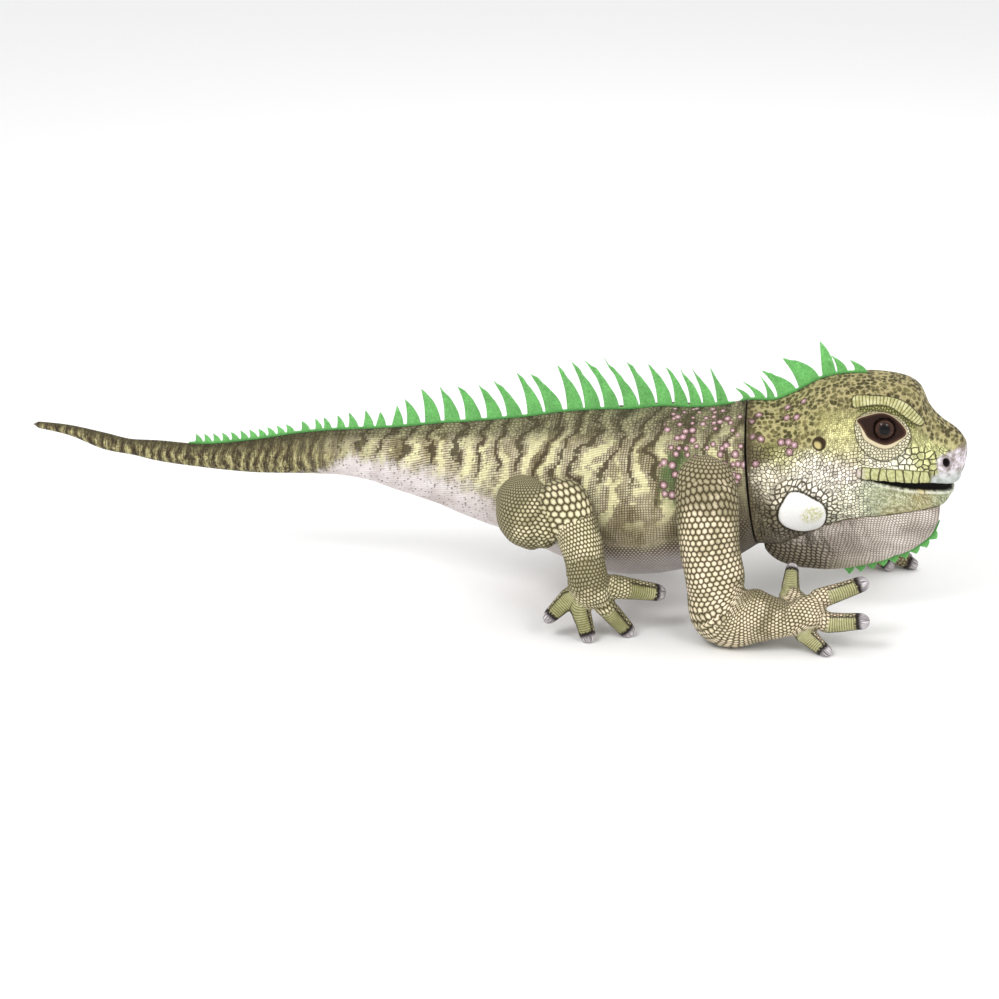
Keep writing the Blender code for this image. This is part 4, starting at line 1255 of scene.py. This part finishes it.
    # between eye and brow: dark green with beads
    between = steps(brow, 0.006, 0.0036) * steps(ring, -0.0006, 0.001) * steps(ring, 0.0075, 0.005)
    beadLine = netOf(face, 340, 0.001, 0.1, 0.36)[0]
    beadsColour = blend(beadLine * 0.92, (0.36, 0.37, 0.13), (0.032, 0.034, 0.01))
    colour = blend(between * 0.9, colour, beadsColour)
    # brow: a pale band with dark bars
    browTint = blend(steps(clouds, 0.35, 0.65), (0.4, 0.38, 0.16), (0.63, 0.61, 0.34))
    browBar = ruled(painted("browRun"), 0.0035, 0.2)
    browColour = blend(browBar * 0.85, browTint, (0.09, 0.08, 0.028))
    ragged = cloudy(face, 700, 2.0) * 0.002 + (brow - 0.001)
    colour = blend(steps(ragged, 0.0, -0.0012), colour, browColour)
    # a dark line round the brow: its printed outline, and painted shadow along the raised band
    colour = blend(hillNode(ragged, 0.0001, 0.0014) * 0.85, colour, (0.04, 0.034, 0.015))
    # ear: a dark ring round a yellow middle set low and back, so that the dark widens at the upper
    # front into painted shadow in its pit
    colour = blend(steps(ear, 0.0082, 0.0066), colour, (0.045, 0.03, 0.016))
    spot = steps(vector("DISTANCE", face, head["earSpot"]), 0.007, 0.0035)
    colour = blend(steps(ear, 0.0062, 0.0046) * spot, colour, (0.6, 0.51, 0.23))
    # shield under the cheek
    colour = blend(hillNode(shield, 0.0012, 0.0026) * 0.95, colour, (0.03, 0.024, 0.013))
    spot = steps(vector("DISTANCE", face, head["shieldSpot"]), 0.017, 0.009)
    speckled = spot * steps(cloudy(cloth, 300, 4.0, 0.7), 0.42, 0.56)
    shieldColour = blend(speckled * 0.85, (0.88, 0.87, 0.85), (0.5, 0.5, 0.15))
    colour = blend(steps(shield, 0.0006, -0.0008), colour, shieldColour)
    # pink dots
    dots = cloudy(cloth, 420, 1.0) * 0.0024 + (painted("dots") - 0.0012)
    dotEnds = ((0.0054, 0.004), (0.0036, 0.0026), (0.0017, 0.0007))
    colour = pinkDot(colour, *(steps(dots, *ends) for ends in dotEnds))
    # painted shade by the neck seam and in its folds, and dark inside the mouth
    neck = steps(faceX, 0.29, 0.272) * steps(faceZ, 0.222, 0.19, 0.3, 0.66)
    colour = blend(neck, colour, (0.06, 0.048, 0.026))
    seam = cloudy(cloth, 260, 3.0, 0.7) * 0.012 + painted("fromSeam")
    colour = blend(steps(seam, 0.015, 0.006, 0.0, 0.75), colour, (0.062, 0.044, 0.024))
    colour = blend(steps(mouth, 0.001, -0.0004), colour, (0.008, 0.007, 0.006))
    plushFinish(shader, colour, 1.0 - line * low, 0.45)
    return made


pouch = {
    # along X, bottom, half width
    "rows": mm([
        (290, 77, 24), (300, 64, 30), (312, 56, 34), (340, 50.5, 38), (369, 51.2, 39),
        (397, 57, 37.5), (434, 70, 31.5), (460, 85, 23.5), (472, 98, 17), (477.5, 112, 12),
    ]),
    "top": 0.15,
    "front": (0.4785, 0.13),
    "rear": 0.088,
    # shares of the length over which the two ends are drawn together
    "rearEnd": 0.02,
    "frontEnd": 0.03,
    "lengthways": 130,
    "around": 112,
    "lumps": 0.0006,
    "lumpSize": 0.02,
    # soft folds: X of the first, X from one to the next, their number, slant, reach, depth
    "folds": (0.335, 0.022, 5, 0.35, 0.004, 0.001),
}


def pouchShape(u, v):
    rows = pouch["rows"]
    shown = 1 - pouch["frontEnd"]
    x = rows[0][0] + (rows[-1][0] - rows[0][0]) * np.clip(u / shown, 0, 1)
    bottom, half = np.moveaxis(curveThrough(rows, x), -1, 0)
    top = pouch["top"] - 0.05 * (1 - ease(rows[0][0], 0.33, x))
    turn = turnAt(v)
    c, s = np.cos(turn), np.sin(turn)
    place = np.stack([
        x,
        half * np.copysign(np.abs(c) ** 0.85, c),
        (top + bottom) / 2 + (top - bottom) / 2 * np.copysign(np.abs(s) ** 0.95, s),
    ], -1)
    ends = (
        ((pouch["front"][0], 0, pouch["front"][1]), (u - shown) / pouch["frontEnd"]),
        ((rows[0][0], 0, pouch["rear"]), 1 - u / pouch["rearEnd"]),
    )
    for end, shut in ends:
        place += (end - place) * np.clip(shut, 0, 1)[:, None]
    return place


def makePouch(headCutter, bodyCutter):
    obj = rolledGrid("pouchSkin", pouch["lengthways"], pouch["around"], pouchShape)
    place = points(obj)
    amount = softLumps(place, pouch["lumpSize"], pouch["lumps"], 9.0)
    first, pitch, count, slant, reach, depth = pouch["folds"]
    for i in range(count):
        away = place[:, 0] - first - pitch * i - slant * (0.1 - place[:, 2])
        amount -= depth * hill(away, reach) * ease(0.055, 0.075, place[:, 2])
    swell(obj, amount)
    place = points(obj)
    paint(obj, "facePlace", np.stack([place[:, 0], place[:, 2], np.abs(place[:, 1])], -1))
    for cutter in (headCutter, bodyCutter):
        applied(obj, "BOOLEAN", operation="DIFFERENCE", solver="EXACT", object=cutter)
    return evened(obj, outwards=False)


def pouchPrint():
    made, shader = newMaterial("pouchPrint")
    faceX, faceZ, _ = parts(painted("facePlace", "Vector"))
    rear = steps(faceX, 0.39, 0.345) * steps(faceZ, 0.104, 0.08)
    clouds = streaked(painted("printPlace", "Vector"), (20, 45), 3.0)
    colour = shades(
        clouds, (0.34, (0.46, 0.4, 0.34)), (0.5, (0.68, 0.6, 0.52)), (0.68, (0.88, 0.8, 0.73))
    )
    colour = blend(steps(faceZ, 0.085, 0.06) * 0.5, colour, (0.47, 0.41, 0.24))
    colour = blend(rear * 0.85, colour, (0.27, 0.23, 0.15))
    # rows of small scales that sweep down and back, larger at the rear
    bent = warped(joined(faceZ * 0.55 + faceX, faceZ), 40, 0.006, 1.0)
    edge = mixed(rear, cells(bent, 0.0032, 0.0026)[0], cells(bent, 0.0056, 0.0046)[0])
    gap = steps(edge, 0.26, 0.08) * mixed(rear, 0.72, 0.95)
    colour = blend(gap, colour, (0.055, 0.042, 0.032))
    # painted shade in creases where it hangs from the jaw
    creaseShade = steps(streaked(bent, (60, 16), 4.0, 0.7), 0.48, 0.66)
    creaseShade *= steps(faceX, 0.425, 0.37) * steps(faceZ, 0.072, 0.094)
    colour = blend(creaseShade * 0.8, colour, (0.045, 0.038, 0.028))
    plushFinish(shader, colour, steps(edge, 0.0, 0.3), 0.4)
    return made


# clear: how far the cloth of the socket stays behind the dome
eye = {
    "radius": 0.0112, "depth": 0.0084, "pupil": 0.0056, "iris": 0.0098, "lean": (0.1, 1.0, 0.1),
    "clear": 0.0004,
}


def makeEye(side, name, cadNode):
    low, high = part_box(cadNode)
    middle = (low + high) / 2 - Vector(toy["shift"])
    bpy.ops.mesh.primitive_uv_sphere_add(segments=64, ring_count=40, radius=1)
    obj = bpy.context.active_object
    obj.name = name
    ball = points(obj)
    away = np.hypot(ball[:, 0], ball[:, 1]) * eye["radius"]
    lean = Vector((eye["lean"][0], side * eye["lean"][1], eye["lean"][2])).normalized()
    turned = np.array(Vector((0, 0, 1)).rotation_difference(lean).to_matrix())
    middle, lean = np.array(middle), np.array(lean)
    sized = ball * (eye["radius"], eye["radius"], eye["depth"])
    movePoints(obj, sized @ turned.T + middle)
    paint(obj, "fromMiddle", away)
    turn = np.arctan2(ball[:, 1], ball[:, 0])
    paint(obj, "spoke", np.stack([np.cos(turn), np.sin(turn), away * 100], -1))
    bpy.ops.object.shade_smooth()
    return obj, middle, lean


def eyePlastic():
    made, shader = newMaterial("glossEye")
    away = painted("fromMiddle")
    spoke = painted("spoke", "Vector")
    iris, pupil = eye["iris"], eye["pupil"]
    colour = shades(
        cloudy(stretched(spoke, (7, 7, 1.5)), 1.0, 3.0), (0.35, (0.016, 0.007, 0.005)),
        (0.55, (0.04, 0.017, 0.011)), (0.72, (0.075, 0.034, 0.021)),
    )
    colour = layered(
        colour, (steps(away, iris - 0.0006, iris), (0.02, 0.01, 0.008)),
        (hillNode(away, iris - 0.001, 0.0007) * 0.3, (0.18, 0.11, 0.08)),
        (steps(away, pupil + 0.0004, pupil - 0.0004), (0.002, 0.002, 0.002)),
    )
    feed(shader, {
        "Base Color": colour, "Roughness": 0.16, "Specular IOR Level": 0.0, "Coat Weight": 0.4,
        "Coat Roughness": 0.03,
    })
    return made


def cupSocket(obj, middle, lean):
    # the cloth lies behind the eye's back, never through it
    place = points(obj)
    away = place - middle
    up = away @ lean
    flat = away - up[:, None] * lean
    share = np.linalg.norm(flat, axis=1) / (eye["radius"] + eye["clear"])
    back = -(eye["depth"] + eye["clear"]) * np.sqrt(np.clip(1 - share**2, 0, 1))
    moved = (share < 1) & (np.linalg.norm(away, axis=1) < 0.02) & (back < up)
    place[moved] += (back - up)[moved, None] * lean
    movePoints(obj, place)


crest = {
    "thick": 0.0024,
    "band": 0.0028,
    "clear": 0.0001,
    # each spike: base along X, width, height, lean back, in millimetres
    "back": [
        (-217, 9.5, 14, 2.6), (-202, 8, 15.5, 2.4), (-192, 8.5, 16, 2.6), (-177, 9, 17.5, 2.4),
        (-163, 11, 20, 3.4), (-146, 12, 21.5, 1.5), (-132, 11.5, 19, -0.8),
        (-113, 13, 24.5, -2), (-95, 15.5, 32, 5), (-73.5, 17.5, 42, 6.5),
        (-52, 17.5, 42, 9.4), (-28.5, 18, 42.5, 12), (-5, 17, 41.5, 12.2), (17, 17, 45, 17.5),
        (40, 17.5, 52, 11.8), (60.5, 19, 47.5, 18.2), (83.5, 17.5, 53, 14.5),
        (102.5, 17, 56.5, 18.5), (123, 16, 56.5, 27), (144.5, 17, 62, 26),
        (162.5, 17, 53.5, 15.6), (180.5, 15.5, 47.5, 16.8), (198, 15, 45.5, 18.2),
        (214, 13, 45, 15), (228.5, 13.5, 43, 14.5), (243, 12.5, 45, 7),
    ],
    "head": [
        (268.3, 7, 15.5, 11.5), (282.2, 11, 20.5, 21), (294.3, 9, 33.5, 12.5),
        (311.6, 22, 37.5, 13.5), (334.4, 24, 39, 10.5), (355.1, 14, 39.5, 0.5),
        (368.5, 10.5, 21, 8.5), (386.9, 12, 14.5, 12.5),
    ],
    # small spikes of the tail: X of the first and the last, pitch, width, height, lean back
    "tail": (-340, -228, 10.6, 8.5, 12.5, 3.4),
    # throat: place of the first, pitch, number, width, height, by how much each is lower
    "throat": (6, 12.2, 9, 11.4, 10.5, 0.3),
    # which way each edge of a spike lies, how far it bellies forward, heights of its points
    "edges": ((1, 0.1, np.linspace(0, 1, 12)), (-1, 0.07, np.linspace(0.96, 0, 11))),
    "ends": {"back": (-0.352, 0.256), "head": (0.2615, 0.3945), "throat": (0.378, 0.4775)},
    "grid": 0.0007,
    # how far a spike of that height bends to the side
    "bend": 0.0022,
    "bendAt": 0.045,
}


def crestLine(kind):
    ends = crest["ends"][kind]
    x = np.linspace(*ends, max(20, round((ends[1] - ends[0]) / 0.003)))
    if kind == "throat":
        return np.stack([x, curveThrough(pouch["rows"], x)[:, 0]], -1)
    return section(x, np.full(len(x), math.pi / 2))[:, [0, 2]]


def crestOutline(kind):
    line = crestLine(kind)
    along = np.pad(np.cumsum(np.linalg.norm(np.diff(line, axis=0), axis=1)), (1, 0))
    turn = -1 if kind == "throat" else 1

    def onLine(s):
        return np.array([np.interp(s, along, line[:, k]) for k in (0, 1)])

    def at(s, out, back=0.0):
        d = onLine(s + 0.004) - onLine(s - 0.004)
        d /= np.linalg.norm(d)
        return onLine(s) + np.array([-d[1], d[0]]) * turn * out - d * back

    if kind == "throat":
        first, pitch, count, width, height, fall = crest["throat"]
        spikes = [((first + pitch * i) / 1000, width, height - fall * i, 1) for i in range(count)]
    else:
        given = list(crest[kind])
        if kind == "back":
            first, last, pitch, *size = crest["tail"]
            given = [(x, *size) for x in np.arange(first, last, pitch)] + given
        spikes = [(np.interp(x / 1000, line[:, 0], along), *size) for x, *size in given]
    band = crest["band"]
    outline = [at(s, crest["clear"]) for s in along] + [at(along[-1], band * 0.6)]
    for s, *size in sorted(spikes, reverse=True):
        width, height, lean = np.array(size) / 1000
        for side, belly, rise in crest["edges"]:
            for t in rise:
                place = s + side * width / 2 * (1 - t**1.3) + belly * width * math.sin(math.pi * t)
                outline.append(at(place, band + (height - band) * t, lean * t**1.5))
    return np.array([*outline, at(0, band * 0.6)]), line


def makeCrest(kind, name):
    outline, line = crestOutline(kind)
    curve = bpy.data.curves.new(name, "CURVE")
    curve.dimensions, curve.fill_mode, curve.extrude = "2D", "BOTH", crest["thick"] / 2
    spline = curve.splines.new("POLY")
    spline.points.add(len(outline) - 1)
    for point, (x, z) in zip(spline.points, outline):
        point.co = (x, z, 0, 1)
    spline.use_cyclic_u = True
    obj = added(name, curve)
    selectOnly(obj)
    bpy.ops.object.convert(target="MESH")
    obj = bpy.context.active_object
    movePoints(obj, points(obj)[:, [0, 2, 1]])
    evened(obj)
    applied(obj, "REMESH", mode="VOXEL", voxel_size=crest["grid"])
    applied(obj, "SMOOTH", factor=0.5, iterations=1)
    place = points(obj)
    away, run = alongLine(place[:, 0], place[:, 2], line)
    # each spike leans a little its own way, and the strip isn't quite straight
    sway = np.sin(run * 310 + 1.0) + 0.8 * np.sin(run * 173 + 2.0) + 0.5 * np.sin(run * 730)
    place[:, 1] += crest["bend"] * sway * (away / crest["bendAt"]) ** 1.5
    paint(obj, "upSpike", away)
    movePoints(obj, place)
    bpy.ops.object.shade_smooth()
    return obj


def feltFinish():
    made, shader = newMaterial("greenFelt")
    where = node("TexCoord", {}, "Object")
    colour = shades(
        cloudy(where, 420, 5.0, 0.72), (0.3, (0.095, 0.315, 0.075)), (0.5, (0.145, 0.455, 0.12)),
        (0.7, (0.23, 0.58, 0.195)),
    )
    colour = toned(colour, steps(cloudy(where, 60, 3.0), 0.3, 0.7, 0.88, 1.1))
    # painted shade at the foot of the spikes, where the felt meets the skin
    foot = steps(painted("upSpike"), 0.0042, 0.0012)
    colour = blend(foot * 0.55, colour, (0.045, 0.19, 0.04))
    feed(shader, {
        "Base Color": colour, "Roughness": 0.95, "Sheen Weight": 0.3, "Sheen Roughness": 0.5,
        "Specular IOR Level": 0.15,
    })
    bumped(shader, cloudy(where, 1800, 4.0, 0.75), 0.5, 0.0005)
    return made


def makeStage():
    bpy.ops.mesh.primitive_plane_add(size=14, location=(0, 0, -0.0002))
    floor = bpy.context.active_object
    floor.name = "floor"
    made, shader = newMaterial("palePaper")
    feed(shader, {"Base Color": (0.93, 0.93, 0.93, 1), "Roughness": 0.9})
    floor.data.materials.append(made)


studio = {
    "camera": (10, 20, 3.0),
    "looksAt": (0.0151, -0.0131, 0.105),
    "lens": 98.28,
    "sky": 0.9,
    # place, size, power
    "lamps": [
        ((-0.9, -2.0, 2.4), 0.9, 34), ((1.4, -1.6, 1.6), 0.8, 13), ((0.2, 1.8, 2.2), 1.6, 12),
    ],
}


def aimed(obj, target):
    away = Vector(obj.location) - Vector(target)
    obj.rotation_euler = away.to_track_quat("Z", "Y").to_euler()


def makeStudio():
    for i, (place, size, power) in enumerate(studio["lamps"]):
        lamp = bpy.data.lights.new(f"lamp{i}", "AREA")
        lamp.energy, lamp.size = power, size
        obj = added(f"lamp{i}", lamp)
        obj.location = place
        aimed(obj, studio["looksAt"])
    world = bpy.data.worlds.new("softSky")
    world.use_nodes = True
    feed(world.node_tree.nodes["Background"], {"Color": (1, 1, 1, 1), "Strength": studio["sky"]})
    bpy.context.scene.world = world
    turn, rise, distance = studio["camera"]
    a, e = math.radians(turn), math.radians(rise)
    back = Vector((math.sin(a) * math.cos(e), -math.cos(a) * math.cos(e), math.sin(e)))
    lens = bpy.data.cameras.new("camera")
    lens.lens, lens.sensor_width = studio["lens"], 36
    camera = added("camera", lens)
    camera.location = Vector(studio["looksAt"]) + back * distance
    aimed(camera, studio["looksAt"])
    bpy.context.scene.camera = camera
    bpy.context.scene.view_settings.view_transform = "Standard"


bodySkin = makeBody()
paintBody(bodySkin)
bodyCutter = largerCopy(bodySkin)
finished(
    bodySkin, ["trunk", "tail_base", "tail_middle", "tail_tip"], bodyPrint()
)
print("body done", len(bodySkin.data.polygons))

headSkin = makeHead()
headCutter = largerCopy(headSkin)
pouchSkin = makePouch(headCutter, bodyCutter)
feltGreen = feltFinish()
plastic = eyePlastic()
for side, name, cadNode in ((-1, "rightEye", "eye_right"), (1, "leftEye", "eye_left")):
    eyePiece, middle, lean = makeEye(side, name, cadNode)
    cupSocket(headSkin, middle, lean)
    finished(eyePiece, [cadNode], plastic)
finished(headSkin, ["neck", "head"], headPrint())
finished(pouchSkin, ["throat_pouch"], pouchPrint())
print("head done", len(headSkin.data.polygons), len(pouchSkin.data.polygons))

for kind in ("back", "head", "throat"):
    crestPiece = makeCrest(kind, kind + "Crest")
    finished(crestPiece, ["crest_" + kind], feltGreen)
    print(kind, "crest done", len(crestPiece.data.polygons))

armPrint = limbPrint("armPrint", nearArm)
legPrint = limbPrint("legPrint", leftLeg)
for limb in (nearArm, farArm, leftLeg, rightLeg):
    limbPiece = makeLimb(limb, bodyCutter)
    paintLimb(limbPiece, limb)
    limbFinish = armPrint if "Arm" in limb["name"] else legPrint
    finished(limbPiece, limb["nodes"], limbFinish)
    print(limb["name"], "done", len(limbPiece.data.polygons))
for cutter in (bodyCutter, headCutter):
    bpy.data.objects.remove(cutter)

makeStage()
makeStudio()
